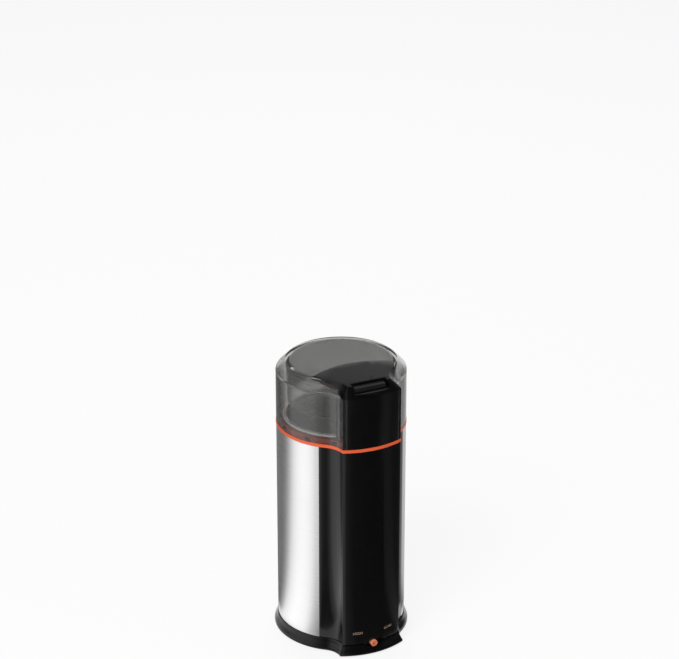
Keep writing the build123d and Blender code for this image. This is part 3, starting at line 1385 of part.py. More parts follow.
pieces = {
    "foot_ring": foot_ring,
    "bottom_cover": bottom_cover,
    "cover_screws": cover_screws,
    "base_housing": base_housing,
    "body_shell": body_shell,
    "steel_sleeve": steel_sleeve,
    "front_panel": front_panel,
    "cord_gland": cord_gland,
    "bowl_collar": bowl_collar,
    "motor_mounts": motor_mounts,
    "mount_screws": mount_screws,
    "upper_bracket": upper_bracket,
    "lower_bracket": lower_bracket,
    "motor_bolts": motor_bolts,
    "motor_stator": motor_stator,
    "field_coils": field_coils,
    "upper_bearing": upper_bearing,
    "lower_bearing": lower_bearing,
    "brush_holders": brush_holders,
    "carbon_brushes": carbon_brushes,
    "brush_springs": brush_springs,
    "motor_shaft": motor_shaft,
    "rotor_core": rotor_core,
    "rotor_windings": rotor_windings,
    "commutator": commutator,
    "cooling_fan": cooling_fan,
    "drive_coupling": drive_coupling,
    "grinding_bowl": grinding_bowl,
    "bowl_base": bowl_base,
    "floor_gasket": floor_gasket,
    "spindle_bush": spindle_bush,
    "bush_nut": bush_nut,
    "blade_spindle": blade_spindle,
    "grinder_blade": grinder_blade,
    "blade_nut": blade_nut,
    "driven_coupling": driven_coupling,
    "lid_shell": lid_shell,
    "lid_cover": lid_cover,
    "lid_liner": lid_liner,
    "press_guide": press_guide,
    "guide_screws": guide_screws,
    "press_button": press_button,
    "actuator_blade": actuator_blade,
    "press_spring": press_spring,
    "interlock_plunger": interlock_plunger,
    "switch_stem": switch_stem,
    "plunger_spring": plunger_spring,
    "interlock_switch": interlock_switch,
    "switch_bracket": switch_bracket,
    "speed_knob": speed_knob,
    "speed_slider": speed_slider,
    "speed_switch": speed_switch,
    "control_board": control_board,
    "board_components": board_components,
}
os.makedirs("parts", exist_ok=True)
for name, piece in pieces.items():
    piece.part.label = name
    export_step(piece.part, f"parts/{name}.step")

for name, curve, wire, turns in (
    ("brush spring", brush_coil, brush_spring_wire, brush_spring_turns),
    ("press spring", press_coil, press_spring_wire, press_spring_turns),
    ("plunger spring", plunger_coil, plunger_spring_wire, plunger_spring_turns),
):
    print(name, "least gap to itself", round(least_coil_gap(curve, wire, turns), 2))
print("overall height", lid_top, "bowl rim", rim_top, "lid bottom", lid_bottom, "ring top", ring_top)
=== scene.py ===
from math import cos, pi, radians, sin
import bmesh
import bpy
from mathutils import Matrix, Vector


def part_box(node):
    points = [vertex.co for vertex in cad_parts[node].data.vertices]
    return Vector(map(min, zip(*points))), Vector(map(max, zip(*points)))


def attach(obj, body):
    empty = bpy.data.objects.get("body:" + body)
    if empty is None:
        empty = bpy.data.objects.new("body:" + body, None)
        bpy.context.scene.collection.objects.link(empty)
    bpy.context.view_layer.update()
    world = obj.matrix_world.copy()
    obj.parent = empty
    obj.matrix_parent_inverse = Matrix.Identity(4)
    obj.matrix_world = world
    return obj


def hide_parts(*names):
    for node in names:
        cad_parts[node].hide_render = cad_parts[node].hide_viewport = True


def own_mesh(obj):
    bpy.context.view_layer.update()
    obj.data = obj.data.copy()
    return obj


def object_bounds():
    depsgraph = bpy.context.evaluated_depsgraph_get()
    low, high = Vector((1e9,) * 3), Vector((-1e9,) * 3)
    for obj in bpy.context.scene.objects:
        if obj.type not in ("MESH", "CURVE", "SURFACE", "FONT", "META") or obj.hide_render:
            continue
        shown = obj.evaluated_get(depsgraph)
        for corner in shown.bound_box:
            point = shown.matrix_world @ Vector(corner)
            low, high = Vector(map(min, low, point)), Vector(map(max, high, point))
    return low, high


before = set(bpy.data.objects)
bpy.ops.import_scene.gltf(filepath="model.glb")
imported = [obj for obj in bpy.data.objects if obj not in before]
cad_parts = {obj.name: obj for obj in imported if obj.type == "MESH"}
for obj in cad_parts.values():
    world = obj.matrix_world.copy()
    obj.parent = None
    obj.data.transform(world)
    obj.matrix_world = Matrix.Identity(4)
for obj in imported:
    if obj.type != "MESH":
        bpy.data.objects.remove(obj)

cad_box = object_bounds()


# Camera: a long lens looks down on the grinder from the left of its pod.
# The grinder's axis stands just right of the middle of the picture.
view_turn = radians(-25.5)
view_pitch = radians(22.875)
view_reach = 1.5408
view_height = 0.8905
view_aside = 0.0012
focal_pixels = 2300
picture_width = 679
camera_data = bpy.data.cameras.new("camera")
camera_data.sensor_width = 36
camera_data.lens = focal_pixels * camera_data.sensor_width / picture_width
camera = bpy.data.objects.new("camera", camera_data)
bpy.context.scene.collection.objects.link(camera)
camera.location = (
    view_reach * sin(view_turn) - view_aside * cos(view_turn),
    -view_reach * cos(view_turn) - view_aside * sin(view_turn),
    view_height,
)
look = Vector((-sin(view_turn) * cos(view_pitch), cos(view_turn) * cos(view_pitch), -sin(view_pitch)))
camera.rotation_euler = look.to_track_quat("-Z", "Y").to_euler()
bpy.context.scene.camera = camera
bpy.context.scene.view_settings.view_transform = "Standard"


# Studio: a pale paper floor under a white surround, three soft lamps and a light tent.
# The tent is a wide dish of softboxes and dark gaps, closed over the top.
# Only shiny pieces mirror it, and it lights and shades nothing else.
class Wire:
    """A socket of a material's node tree. Arithmetic on wires adds Math nodes."""

    def __init__(self, tree, socket=None):
        self.tree = tree
        self.socket = socket

    def node(self, kind, settings=None, sockets=None, output=0):
        """A new node: its settings first, then the values or wires of its sockets."""
        made = self.tree.nodes.new(kind)
        for name, value in (settings or {}).items():
            if name == "stops":
                ramp = made.color_ramp
                while len(ramp.elements) < len(value):
                    ramp.elements.new(0.5)
                for element, (place, level) in zip(ramp.elements, value):
                    element.position = place
                    element.color = (level, level, level, 1)
            elif name == "ramp":
                made.color_ramp.interpolation = value
            else:
                setattr(made, name, value)
        for name, value in (sockets or {}).items():
            if isinstance(value, Wire):
                self.tree.links.new(value.socket, made.inputs[name])
            else:
                made.inputs[name].default_value = value
        return Wire(self.tree, made.outputs[output] if made.outputs else None)

    def math(self, operation, first, second=0.0):
        return self.node("ShaderNodeMath", {"operation": operation}, {0: first, 1: second})

    def __add__(self, other):
        return self.math("ADD", self, other)

    def __radd__(self, other):
        return self.math("ADD", other, self)

    def __sub__(self, other):
        return self.math("SUBTRACT", self, other)

    def __rsub__(self, other):
        return self.math("SUBTRACT", other, self)

    def __mul__(self, other):
        return self.math("MULTIPLY", self, other)

    def __rmul__(self, other):
        return self.math("MULTIPLY", other, self)

    def __truediv__(self, other):
        return self.math("DIVIDE", self, other)

    def __rtruediv__(self, other):
        return self.math("DIVIDE", other, self)


def new_material(name):
    material = bpy.data.materials.new(name)
    material.use_nodes = True
    material.node_tree.nodes.clear()
    return material, Wire(material.node_tree)


def place_on(surface):
    """The X, Y and Z wires of a point's place on its piece."""
    place = surface.node("ShaderNodeTexCoord", output="Object")
    return [surface.node("ShaderNodeSeparateXYZ", {}, {0: place}, way) for way in "XYZ"]


def staged(mesh, name, material):
    """A mesh made into a part of the studio."""
    data = bpy.data.meshes.new(name)
    mesh.to_mesh(data)
    mesh.free()
    data.materials.append(material)
    made = bpy.data.objects.new(name, data)
    bpy.context.scene.collection.objects.link(made)
    return made


def outline(mesh, points, closed=False):
    """Corners joined by edges, one after another."""
    corners = [mesh.verts.new(point) for point in points]
    following = corners[1:] + corners[:1] if closed else corners[1:]
    for first, second in zip(corners, following):
        mesh.edges.new((first, second))
    return corners


weld_distance = 1e-7


def spun(mesh, axis, centre, steps):
    """An outline turned once round an axis into a closed skin."""
    bmesh.ops.spin(
        mesh, geom=list(mesh.verts) + list(mesh.edges), cent=centre, axis=axis, dvec=(0, 0, 0), angle=2 * pi,
        steps=steps, use_merge=True,
    )
    bmesh.ops.remove_doubles(mesh, verts=mesh.verts, dist=weld_distance)
    bmesh.ops.recalc_face_normals(mesh, faces=mesh.faces)


ambient_level = 0.34
surround = bpy.data.worlds.new("white_surround")
bpy.context.scene.world = surround
surround.use_nodes = True
surround.node_tree.nodes.clear()
sky = Wire(surround.node_tree)
seen = sky.node("ShaderNodeLightPath", output="Is Camera Ray")
mirrored = sky.node("ShaderNodeLightPath", output="Is Glossy Ray")
passed = sky.node("ShaderNodeLightPath", output="Is Transmission Ray")
shown = sky.math("MAXIMUM", sky.math("MAXIMUM", seen, mirrored), passed)
sky_level = ambient_level + shown * (1 - ambient_level)
glow = sky.node("ShaderNodeBackground", {}, {"Color": (1, 1, 1, 1), "Strength": sky_level})
sky.node("ShaderNodeOutputWorld", {}, {"Surface": glow})

floor_radius = 6
floor_drop = 0.0001
paper_tone = (0.9, 0.9, 0.9, 1)
paper_whiteness = 0.84
floor_material, paper = new_material("pale_floor")
paper_seen = paper.node("ShaderNodeLightPath", output="Is Camera Ray")
paper_passed = paper.node("ShaderNodeLightPath", output="Is Transmission Ray")
white_share = paper.math("MAXIMUM", paper_seen, paper_passed) * paper_whiteness
matte = paper.node("ShaderNodeBsdfDiffuse", {}, {"Color": paper_tone})
white = paper.node("ShaderNodeEmission", {}, {"Color": (1, 1, 1, 1), "Strength": 1.0})
paper_mix = paper.node("ShaderNodeMixShader", {}, {0: white_share, 1: matte, 2: white})
paper.node("ShaderNodeOutputMaterial", {}, {"Surface": paper_mix})
floor_mesh = bmesh.new()
bmesh.ops.create_circle(floor_mesh, cap_ends=True, segments=96, radius=floor_radius)
floor = staged(floor_mesh, "floor", floor_material)
floor.location.z = cad_box[0][2] - floor_drop
floor.visible_glossy = False

# The tent's outline from its foot to its roof, as reach and height.
tent_outline = ((0.0615, 0.0005), (1.1, 0.012), (1.5, 0.4), (1.5, 2.4), (0.02, 3.0))
# Where the tent is bright, in degrees round the grinder from its front, and how bright.
tent_levels = (
    (-180, 0.14), (-152, 0.11), (-138, 0.06), (-126, 0.2), (-112, 0.82), (-95, 1.0), (-74, 0.94), (-61, 0.42),
    (-50, 0.08), (-42, 0.14), (-36, 0.66), (-27, 0.66), (-19, 0.16), (-9, 0.06), (30, 0.04), (38, 0.13),
    (46, 0.13), (54, 0.06), (74, 0.07), (86, 0.24), (100, 0.46), (124, 0.46), (142, 0.5), (158, 0.42),
    (170, 0.2), (180, 0.14),
)
tent_strength = 1.55
dimming = {"From Min": 0.1, "From Max": 0.5, "To Min": 1.0, "To Max": 0.6}
tent_material, cloth = new_material("tent_cloth")
cloth_x, cloth_y, cloth_z = place_on(cloth)
turn_share = cloth.math("ARCTAN2", cloth_x, 0 - cloth_y) / (2 * pi) + 0.5
softboxes = cloth.node(
    "ShaderNodeValToRGB",
    {"ramp": "EASE", "stops": [((angle + 180) / 360, level) for angle, level in tent_levels]},
    {"Fac": turn_share},
)
cloth_level = tent_strength * cloth.node("ShaderNodeMapRange", {}, {"Value": cloth_z, **dimming})
cloth_glow = cloth.node("ShaderNodeEmission", {}, {"Color": softboxes, "Strength": cloth_level})
cloth.node("ShaderNodeOutputMaterial", {}, {"Surface": cloth_glow})
tent_mesh = bmesh.new()
outline(tent_mesh, [(reach, 0, height) for reach, height in tent_outline])
spun(tent_mesh, axis=(0, 0, 1), centre=(0, 0, 0), steps=128)
tent = staged(tent_mesh, "light_tent", tent_material)
tent.visible_camera = False
tent.visible_diffuse = False
tent.visible_transmission = False
tent.visible_volume_scatter = False
tent.visible_shadow = False

# Each lamp's place, its width and its power. They all point at the middle of the body.
lamps = (
    ("key_lamp", (-1.1, -0.9, 1.7), 1.0, 26),
    ("fill_lamp", (1.2, -1.1, 1.1), 1.2, 2.5),
    ("back_lamp", (0.5, 1.2, 1.9), 1.2, 15),
)
lit_point = Vector((0, 0, 0.1))
for lamp_name, place, width, power in lamps:
    lamp_data = bpy.data.lights.new(lamp_name, "AREA")
    lamp_data.size = width
    lamp_data.energy = power
    lamp = bpy.data.objects.new(lamp_name, lamp_data)
    lamp.location = place
    lamp.rotation_euler = (lit_point - Vector(place)).to_track_quat("-Z", "Y").to_euler()
    lamp.visible_glossy = False
    lamp.visible_transmission = False
    bpy.context.scene.collection.objects.link(lamp)


# Foot ring and bottom cover: a moulded rubber ring in a groove of a black plastic plate with vent slots.
# Four zinc-plated screws hold the plate up against the base.
def paint(material, *nodes):
    for name in nodes:
        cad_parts[name].material_slots[0].material = material


def grain(surface, size, detail=3.0, stretch=(1, 1, 1)):
    """Noise of about that size in metres, on the piece's own coordinates."""
    place = surface.node("ShaderNodeTexCoord", output="Object")
    scaled = surface.node("ShaderNodeMapping", {}, {"Vector": place, "Scale": stretch})
    return surface.node("ShaderNodeTexNoise", {}, {"Vector": scaled, "Scale": 1 / size, "Detail": detail})


def blend(surface, share, first, second):
    """A colour between two colours or wires, by a wire that runs from 0 to 1."""
    ends = [end if isinstance(end, Wire) else (*end, 1) for end in (first, second)]
    return surface.node("ShaderNodeMix", {"data_type": "RGBA"}, {0: share, 6: ends[0], 7: ends[1]}, 2)


def dented(surface, height, strength, depth):
    return surface.node("ShaderNodeBump", {}, {"Strength": strength, "Distance": depth, "Height": height})


def shaded(surface, **sockets):
    """The material's own shader, with a socket for each word."""
    named = {name.replace("_", " "): value for name, value in sockets.items()}
    shader = surface.node("ShaderNodeBsdfPrincipled", {}, named)
    surface.node("ShaderNodeOutputMaterial", {}, {"Surface": shader})


def swing(noise, width):
    """Noise from 0 to 1 as a swing of that width about zero."""
    return (noise - 0.5) * width


def plastic(name, dark, light, rough, texture, depth, specular=0.5):
    """Moulded plastic or rubber: a fine moulded grain, and a slow drift of colour and gloss."""
    drift_size = 0.018
    gloss_drift = 0.16
    grain_strength = 0.5
    material, surface = new_material(name)
    drift = grain(surface, drift_size)
    shaded(
        surface,
        Base_Color=blend(surface, drift, dark, light),
        Roughness=rough + swing(drift, gloss_drift),
        Normal=dented(surface, grain(surface, texture), grain_strength, depth),
        Specular_IOR_Level=specular,
    )
    return material


def metal(name, dark, light, rough, texture, stretch, depth, spread=0.2, turned=0.0, bare=1.0):
    """Bare metal with fine tool marks, which stretch along the way that it was worked."""
    mark_detail = 4.0
    mark_strength = 0.4
    haze_size = 0.03
    haze_spread = 0.06
    material, surface = new_material(name)
    marks = grain(surface, texture, mark_detail, stretch)
    haze = grain(surface, haze_size)
    shaded(
        surface,
        Base_Color=blend(surface, marks, dark, light),
        Roughness=rough + swing(marks, spread) + swing(haze, haze_spread),
        Metallic=bare,
        Normal=dented(surface, marks, mark_strength, depth),
        Anisotropic=turned,
    )
    return material


rubber = plastic(
    "foot_rubber", dark=(0.012, 0.012, 0.013), light=(0.022, 0.022, 0.023), rough=0.72, texture=0.0004,
    depth=0.00004,
)
base_black = plastic(
    "base_black", dark=(0.002, 0.002, 0.0022), light=(0.003, 0.003, 0.0032), rough=0.17, texture=0.00045,
    depth=0.000005, specular=0.26,
)
zinc = metal(
    "zinc_plate", dark=(0.5, 0.5, 0.48), light=(0.68, 0.68, 0.66), rough=0.34, texture=0.0006,
    stretch=(1, 1, 1), depth=0.00001,
)
paint(rubber, "foot_ring")
paint(base_black, "bottom_cover")
paint(zinc, "cover_screws")


# Base housing: satin black plastic, moulded in one piece and flared to a rounded lip.
# The body stands on its top edge, and the bottom cover closes it from below.
def finished(mesh, name, body, slot, material, *nodes):
    """A mesh made into a piece that rides on a body and stands for CAD nodes."""
    crease = radians(38)
    data = bpy.data.meshes.new(name)
    mesh.to_mesh(data)
    mesh.free()
    data.shade_smooth()
    data.set_sharp_from_angle(angle=crease)
    data.materials.append(material)
    made = bpy.data.objects.new(name, data)
    bpy.context.scene.collection.objects.link(made)
    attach(made, body)
    if nodes:
        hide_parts(*nodes)
    return made


def rounded(mesh, places, width, kind="EDGES", segments=2):
    """Rounds edges of a mesh, or corners of a bare outline."""
    bmesh.ops.bevel(
        mesh, geom=places, offset=width, offset_type="OFFSET", affect=kind, segments=segments, profile=0.5,
        clamp_overlap=True, material=-1,
    )


def eased(node, width):
    """A merged copy of a CAD node's mesh with its sharp edges rounded."""
    merge_distance = 2e-6
    flat = radians(0.4)
    sharp = radians(30)
    mesh = bmesh.new()
    mesh.from_mesh(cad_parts[node].data)
    bmesh.ops.remove_doubles(mesh, verts=mesh.verts, dist=merge_distance)
    bmesh.ops.dissolve_limit(mesh, angle_limit=flat, verts=mesh.verts, edges=mesh.edges)
    rounded(mesh, [e for e in mesh.edges if len(e.link_faces) == 2 and e.calc_face_angle() > sharp], width)
    return mesh


lip_round = 0.0004
finished(eased("base_housing", lip_round), "flared_base", "body", "base_black", base_black, "base_housing")


# Motor: laminated iron and copper between two die-cast brackets, on rubber mounts under the well.
# Long bolts clamp the brackets to the stack, and two carbon brushes press on the commutator.
alloy = metal(
    "cast_alloy", dark=(0.42, 0.42, 0.43), light=(0.6, 0.6, 0.61), rough=0.5, texture=0.0007,
    stretch=(1, 1, 1), depth=0.00005,
)
lamination = metal(
    "lamination", dark=(0.16, 0.16, 0.17), light=(0.36, 0.36, 0.38), rough=0.45, texture=0.0005,
    stretch=(0.05, 0.05, 1), depth=0.00004,
)
copper = metal(
    "enamelled_copper", dark=(0.5, 0.16, 0.05), light=(0.72, 0.3, 0.12), rough=0.32, texture=0.0008,
    stretch=(1, 1, 0.2), depth=0.00006,
)
brass = metal(
    "brass", dark=(0.62, 0.42, 0.16), light=(0.78, 0.56, 0.24), rough=0.3, texture=0.0006,
    stretch=(1, 1, 1), depth=0.00001,
)
ground_steel = metal(
    "ground_steel", dark=(0.55, 0.55, 0.56), light=(0.72, 0.72, 0.73), rough=0.22, texture=0.0004,
    stretch=(0.1, 0.1, 1), depth=0.00001,
)
spring_steel = metal(
    "spring_steel", dark=(0.4, 0.4, 0.41), light=(0.58, 0.58, 0.59), rough=0.28, texture=0.0005,
    stretch=(1, 1, 1), depth=0.00001,
)
carbon = plastic(
    "carbon", dark=(0.02, 0.02, 0.021), light=(0.04, 0.04, 0.042), rough=0.6, texture=0.0002, depth=0.00003
)
coupling_black = plastic(
    "coupling_black", dark=(0.012, 0.012, 0.013), light=(0.02, 0.02, 0.021), rough=0.42, texture=0.0005,
    depth=0.00002,
)
paint(rubber, "motor_mounts")
paint(zinc, "mount_screws", "motor_bolts")
paint(alloy, "upper_bracket", "lower_bracket")
paint(lamination, "motor_stator", "rotor_core")
paint(copper, "field_coils", "rotor_windings", "commutator")
paint(ground_steel, "upper_bearing", "lower_bearing", "motor_shaft")
paint(brass, "brush_holders")
paint(carbon, "carbon_brushes")
paint(spring_steel, "brush_springs")
paint(coupling_black, "cooling_fan", "drive_coupling")


# Body shell and sleeve: a moulded grey inner tube, and stainless sheet wrapped round it.
# The sheet is brushed, and its marks run level round the body.
inner_grey = plastic(
    "inner_grey", dark=(0.1, 0.1, 0.1), light=(0.14, 0.14, 0.14), rough=0.45, texture=0.0005, depth=0.00002
)
sleeve_steel = metal(
    "brushed_sleeve", dark=(0.63, 0.63, 0.63), light=(0.71, 0.71, 0.71), rough=0.29, texture=0.00034,
    stretch=(0.012, 0.012, 1), depth=0.000006, spread=0.09, turned=0.5,
)
paint(inner_grey, "body_shell")
paint(sleeve_steel, "steel_sleeve")


# Front panel and gland: gloss black plastic over the pod and both fairings, moulded in one piece.
# The panel's lips reach behind the front edges of the inner tube.
# At the rear, a black gland for the lead goes through tube and sleeve, with a flange on each side.
gloss_black = plastic(
    "gloss_black", dark=(0.0016, 0.0016, 0.0019), light=(0.0022, 0.0022, 0.0025), rough=0.17, texture=0.004,
    depth=0.000004, specular=0.36,
)
panel_round = 0.0003
gland_round = 0.0004
finished(eased("front_panel", panel_round), "pod_panel", "body", "gloss_black", gloss_black, "front_panel")
finished(eased("cord_gland", gland_round), "lead_gland", "body", "base_black", base_black, "cord_gland")


# Speed words: one on each side of the knob, in pale warm ink.
# They are pad-printed on the round face of the pod.
ink = plastic(
    "pale_ink", dark=(0.42, 0.24, 0.19), light=(0.5, 0.3, 0.24), rough=0.5, texture=0.0003, depth=0.000005
)
letter_size = 0.00308
word_lift = 0.0183
word_turn = radians(12.8)
ink_depth = 0.00003
pod_face = -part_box("front_panel")[0].y
print_reach = pod_face + ink_depth
for word, side in (("HIGH", -1), ("LOW", 1)):
    letters = bpy.data.curves.new("speed_" + word.lower(), "FONT")
    letters.body = word
    letters.size = letter_size
    letters.align_x = "CENTER"
    letters.align_y = "CENTER"
    letters.resolution_u = 4
    holder = bpy.data.objects.new("holder", letters)
    bpy.context.scene.collection.objects.link(holder)
    bpy.context.view_layer.update()
    flat_word = bpy.data.meshes.new_from_object(holder.evaluated_get(bpy.context.evaluated_depsgraph_get()))
    bpy.data.objects.remove(holder)
    printed = bmesh.new()
    printed.from_mesh(flat_word)
    bmesh.ops.remove_doubles(printed, verts=printed.verts, dist=weld_distance)
    for vert in printed.verts:
        turn = side * word_turn + vert.co.x / pod_face
        vert.co = (print_reach * sin(turn), -print_reach * cos(turn), word_lift + vert.co.y)
    finished(printed, "speed_word_" + word.lower(), "body", "inner_grey", ink)


# Bowl collar: orange plastic, one moulding of flange, raised ring and well, seated on top of the body.
# Small windows in the ring are backed by dark plates, put there as painted shade for the hollow behind them.
ring_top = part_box("bowl_collar")[1].z
mouth_radius = 0.0419
well_shade_depth = 0.03
# The windows' own walls, between the wall of the ring and the shade plates, are painted dark as painted
# shade.
ring_outside = 0.04485
ring_inside = 0.0425
window_foot = ring_top - 0.00345
window_head = ring_top - 0.0006
window_shade = (0.02, 0.006, 0.004)
dark_orange = (0.79, 0.104, 0.026)
light_orange = (0.86, 0.122, 0.032)
well_shade_orange = (0.6, 0.095, 0.048)
collar_drift_size = 0.02
collar_rough = 0.36
collar_gloss_drift = 0.14
collar_texture = 0.0004
collar_strength = 0.5
collar_depth = 0.000012
orange, collar = new_material("collar_orange")
collar_x, collar_y, collar_z = place_on(collar)
collar_reach = collar.math("SQRT", collar_x * collar_x + collar_y * collar_y)
in_well = collar.math("LESS_THAN", collar_reach, mouth_radius)
well_shade_share = collar.node(
    "ShaderNodeMapRange", {}, {"Value": ring_top - collar_z, "From Min": 0.0, "From Max": well_shade_depth}
)
in_ring = collar.math("LESS_THAN", collar_reach, ring_outside)
past_mouth = collar.math("GREATER_THAN", collar_reach, ring_inside)
above_foot = collar.math("GREATER_THAN", collar_z, window_foot)
below_head = collar.math("LESS_THAN", collar_z, window_head)
in_window = in_ring * past_mouth * above_foot * below_head
collar_drift = grain(collar, collar_drift_size)
lit_orange = blend(collar, collar_drift, dark_orange, light_orange)
# Painted shade: inside the well the orange is painted darker the deeper it lies below the ring's top.
well_shaded_orange = blend(collar, in_well * well_shade_share, lit_orange, well_shade_orange)
shaded(
    collar,
    Base_Color=blend(collar, in_window, well_shaded_orange, window_shade),
    Roughness=collar_rough + swing(collar_drift, collar_gloss_drift),
    Normal=dented(collar, grain(collar, collar_texture), collar_strength, collar_depth),
    Specular_IOR_Level=0.4,
)
collar_round = 0.0004
finished(eased("bowl_collar", collar_round), "well_collar", "body", "orange", orange, "bowl_collar")

# Painted shade: dark plates stand behind the ring's windows, where there is only shade.
shade_plate_width = 0.0042
shade_plate_height = 0.0026
shade_plate_thickness = 0.0004
shade_plate_middle = ring_top - 0.00205
# How far out each shade plate stands, and its angle from the front, on either side.
shade_plate_places = [(0.0435, angle) for angle in (58, 89, 120, 150)] + [(0.0513, 15), (0.0452, 30.4)]
shade_plates = bmesh.new()
for reach, angle in shade_plate_places:
    for side in (-1, 1):
        turn = Matrix.Rotation(radians(side * angle), 4, "Z")
        seat = Matrix.Translation((0, -reach + shade_plate_thickness / 2, shade_plate_middle))
        shape = Matrix.Diagonal((shade_plate_width, shade_plate_thickness, shade_plate_height, 1))
        bmesh.ops.create_cube(shade_plates, size=1, matrix=turn @ seat @ shape)
rounded(shade_plates, list(shade_plates.edges), shade_plate_thickness / 4)
finished(shade_plates, "window_shade_plates", "body", "base_black", base_black)


# Interlock and speed control: a plastic plunger, two small switches and a circuit board in the pod.
# The plunger stands on a coil spring of hard wire, which shortens as it goes down.
def wound(name, node, body):
    """A CAD spring's coil, merged, as a piece with its own mesh that rides on a body."""
    coil = bmesh.new()
    coil.from_mesh(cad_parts[node].data)
    bmesh.ops.remove_doubles(coil, verts=coil.verts, dist=weld_distance)
    spring = finished(coil, name, body, "spring_steel", spring_steel, node)
    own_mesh(spring)


switch_black = plastic(
    "switch_black", dark=(0.012, 0.012, 0.013), light=(0.018, 0.018, 0.019), rough=0.4, texture=0.0004,
    depth=0.00001,
)
board_green = plastic(
    "board_green", dark=(0.01, 0.07, 0.03), light=(0.014, 0.1, 0.045), rough=0.35, texture=0.0006,
    depth=0.00001,
)
paint(inner_grey, "switch_stem")
paint(switch_black, "interlock_plunger", "speed_slider")
paint(switch_black, "interlock_switch", "speed_switch", "board_components")
paint(zinc, "switch_bracket")
paint(board_green, "control_board")
wound("interlock_spring", "plunger_spring", "body")


# Speed knob: a small round button of paler orange plastic with a dished face.
# It is moulded in one piece, and stands in the panel's slot on the face of the slider.
knob_low, knob_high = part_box("speed_knob")
knob_height = (knob_low.z + knob_high.z) / 2
knob_radius = (knob_high.z - knob_low.z) / 2
dish_depth = 0.0004
dish_radius = 0.0016
dish_floor_radius = dish_radius * 0.6
knob_round = dish_depth * 0.45
# Painted highlight: the knob's rounded rim is painted paler than its dished face.
rim_highlight_fade = {"From Min": 0.45, "From Max": 0.72}
face_orange = (0.66, 0.12, 0.038)
rim_highlight_orange = (0.76, 0.26, 0.13)
knob_rough = 0.34
knob_texture = 0.0003
knob_gloss_drift = 0.12
knob_orange, knob_skin = new_material("knob_orange")
knob_x, _, knob_z = place_on(knob_skin)
knob_rise = knob_z - knob_height
rim_share = knob_skin.math("SQRT", knob_x * knob_x + knob_rise * knob_rise) / knob_radius
rim_highlight_share = knob_skin.node(
    "ShaderNodeMapRange", {"interpolation_type": "SMOOTHSTEP"}, {"Value": rim_share, **rim_highlight_fade}
)
shaded(
    knob_skin,
    Base_Color=blend(knob_skin, rim_highlight_share, face_orange, rim_highlight_orange),
    Roughness=knob_rough + grain(knob_skin, knob_texture) * knob_gloss_drift,
)
knob_line = (
    (0, knob_low.y + dish_depth),
    (dish_floor_radius, knob_low.y + dish_depth),
    (dish_radius, knob_low.y),
    (knob_radius - dish_depth, knob_low.y),
    (knob_radius, knob_low.y + dish_depth),
    (knob_radius, knob_high.y),
    (0, knob_high.y),
)
knob = bmesh.new()
knob_corners = outline(knob, [(reach, depth, knob_height) for reach, depth in knob_line])
rounded(knob, knob_corners[1:-1], knob_round, "VERTICES", segments=3)
spun(knob, axis=(0, 1, 0), centre=(0, 0, knob_height), steps=48)
finished(knob, "dished_knob", "speed_knob", "orange", knob_orange, "speed_knob")


# Grinding bowl: a deep-drawn stainless cup with a bead and a turned-down rim.
# It is polished outside and satin inside.
# A bush and its nut clamp its floor, over a gasket, to the black base.
bowl_steel = metal(
    "polished_bowl", dark=(0.74, 0.74, 0.74), light=(0.82, 0.82, 0.82), rough=0.1, texture=0.0008,
    stretch=(1, 1, 0.06), depth=0.000002, spread=0.03,
)
satin_steel = metal(
    "satin_bowl", dark=(0.82, 0.82, 0.82), light=(0.92, 0.92, 0.92), rough=0.24, texture=0.0007,
    stretch=(0.2, 0.2, 1), depth=0.000006, spread=0.1, bare=0.8,
)
bowl_black = plastic(
    "bowl_black", dark=(0.003, 0.003, 0.0033), light=(0.004, 0.004, 0.0044), rough=0.16, texture=0.0006,
    depth=0.000004, specular=0.3,
)
bowl_low, bowl_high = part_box("grinding_bowl")
sheet = 0.0008
rim_bend = sheet * 1.3
tight_bend = sheet * 0.45
hole_radius = 0.00602
nest_radius = 0.0334
foot_radius = 0.0359
shoulder_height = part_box("bowl_base")[1].z + 0.0002
top_radius = 0.0409
bead_radius = 0.0415
bead_middle = bowl_high.z - 0.0048
bead_foot = bead_middle - sheet
bead_head = bead_middle + sheet * 1.5
rim_radius = bowl_high.x
rim_drop = 0.0024
wall_outside = [
    (hole_radius, bowl_low.z),
    (nest_radius, bowl_low.z),
    (nest_radius, shoulder_height),
    (foot_radius, shoulder_height),
    (top_radius, bead_foot),
    (bead_radius, bead_head),
    (bead_radius, bowl_high.z - sheet),
    (rim_radius - sheet, bowl_high.z - sheet),
    (rim_radius - sheet, bowl_high.z - rim_drop),
    (rim_radius, bowl_high.z - rim_drop),
    (rim_radius, bowl_high.z),
]
wall_inside = [
    (bead_radius - sheet, bowl_high.z),
    (bead_radius - sheet, bead_head),
    (top_radius - sheet, bead_foot),
    (foot_radius - sheet, shoulder_height + sheet),
    (nest_radius - sheet, shoulder_height + sheet),
    (nest_radius - sheet, bowl_low.z + sheet),
    (hole_radius, bowl_low.z + sheet),
]
cup = bmesh.new()
bends = outline(cup, [(reach, 0, height) for reach, height in wall_outside + wall_inside], closed=True)
rolled_edge = bends.pop(len(wall_outside) - 1)
rounded(cup, [rolled_edge], rim_bend, "VERTICES", segments=4)
rounded(cup, bends, tight_bend, "VERTICES", segments=4)
spun(cup, axis=(0, 0, 1), centre=(0, 0, 0), steps=180)
for face in cup.faces:
    middle = face.calc_center_median()
    inward = face.normal.x * middle.x + face.normal.y * middle.y < 0
    upward = face.normal.z > 0.5
    below_rim = middle.z < bowl_high.z - rim_drop
    face.material_index = 1 if below_rim and (inward or upward) else 0
drawn_bowl = finished(cup, "drawn_bowl", "bowl", "bowl_steel", bowl_steel, "grinding_bowl")
drawn_bowl.data.materials.append(satin_steel)
bowl_base_round = 0.0004
finished(eased("bowl_base", bowl_base_round), "bayonet_base", "bowl", "base_black", bowl_black, "bowl_base")
paint(rubber, "floor_gasket")
paint(brass, "spindle_bush")
paint(zinc, "bush_nut")


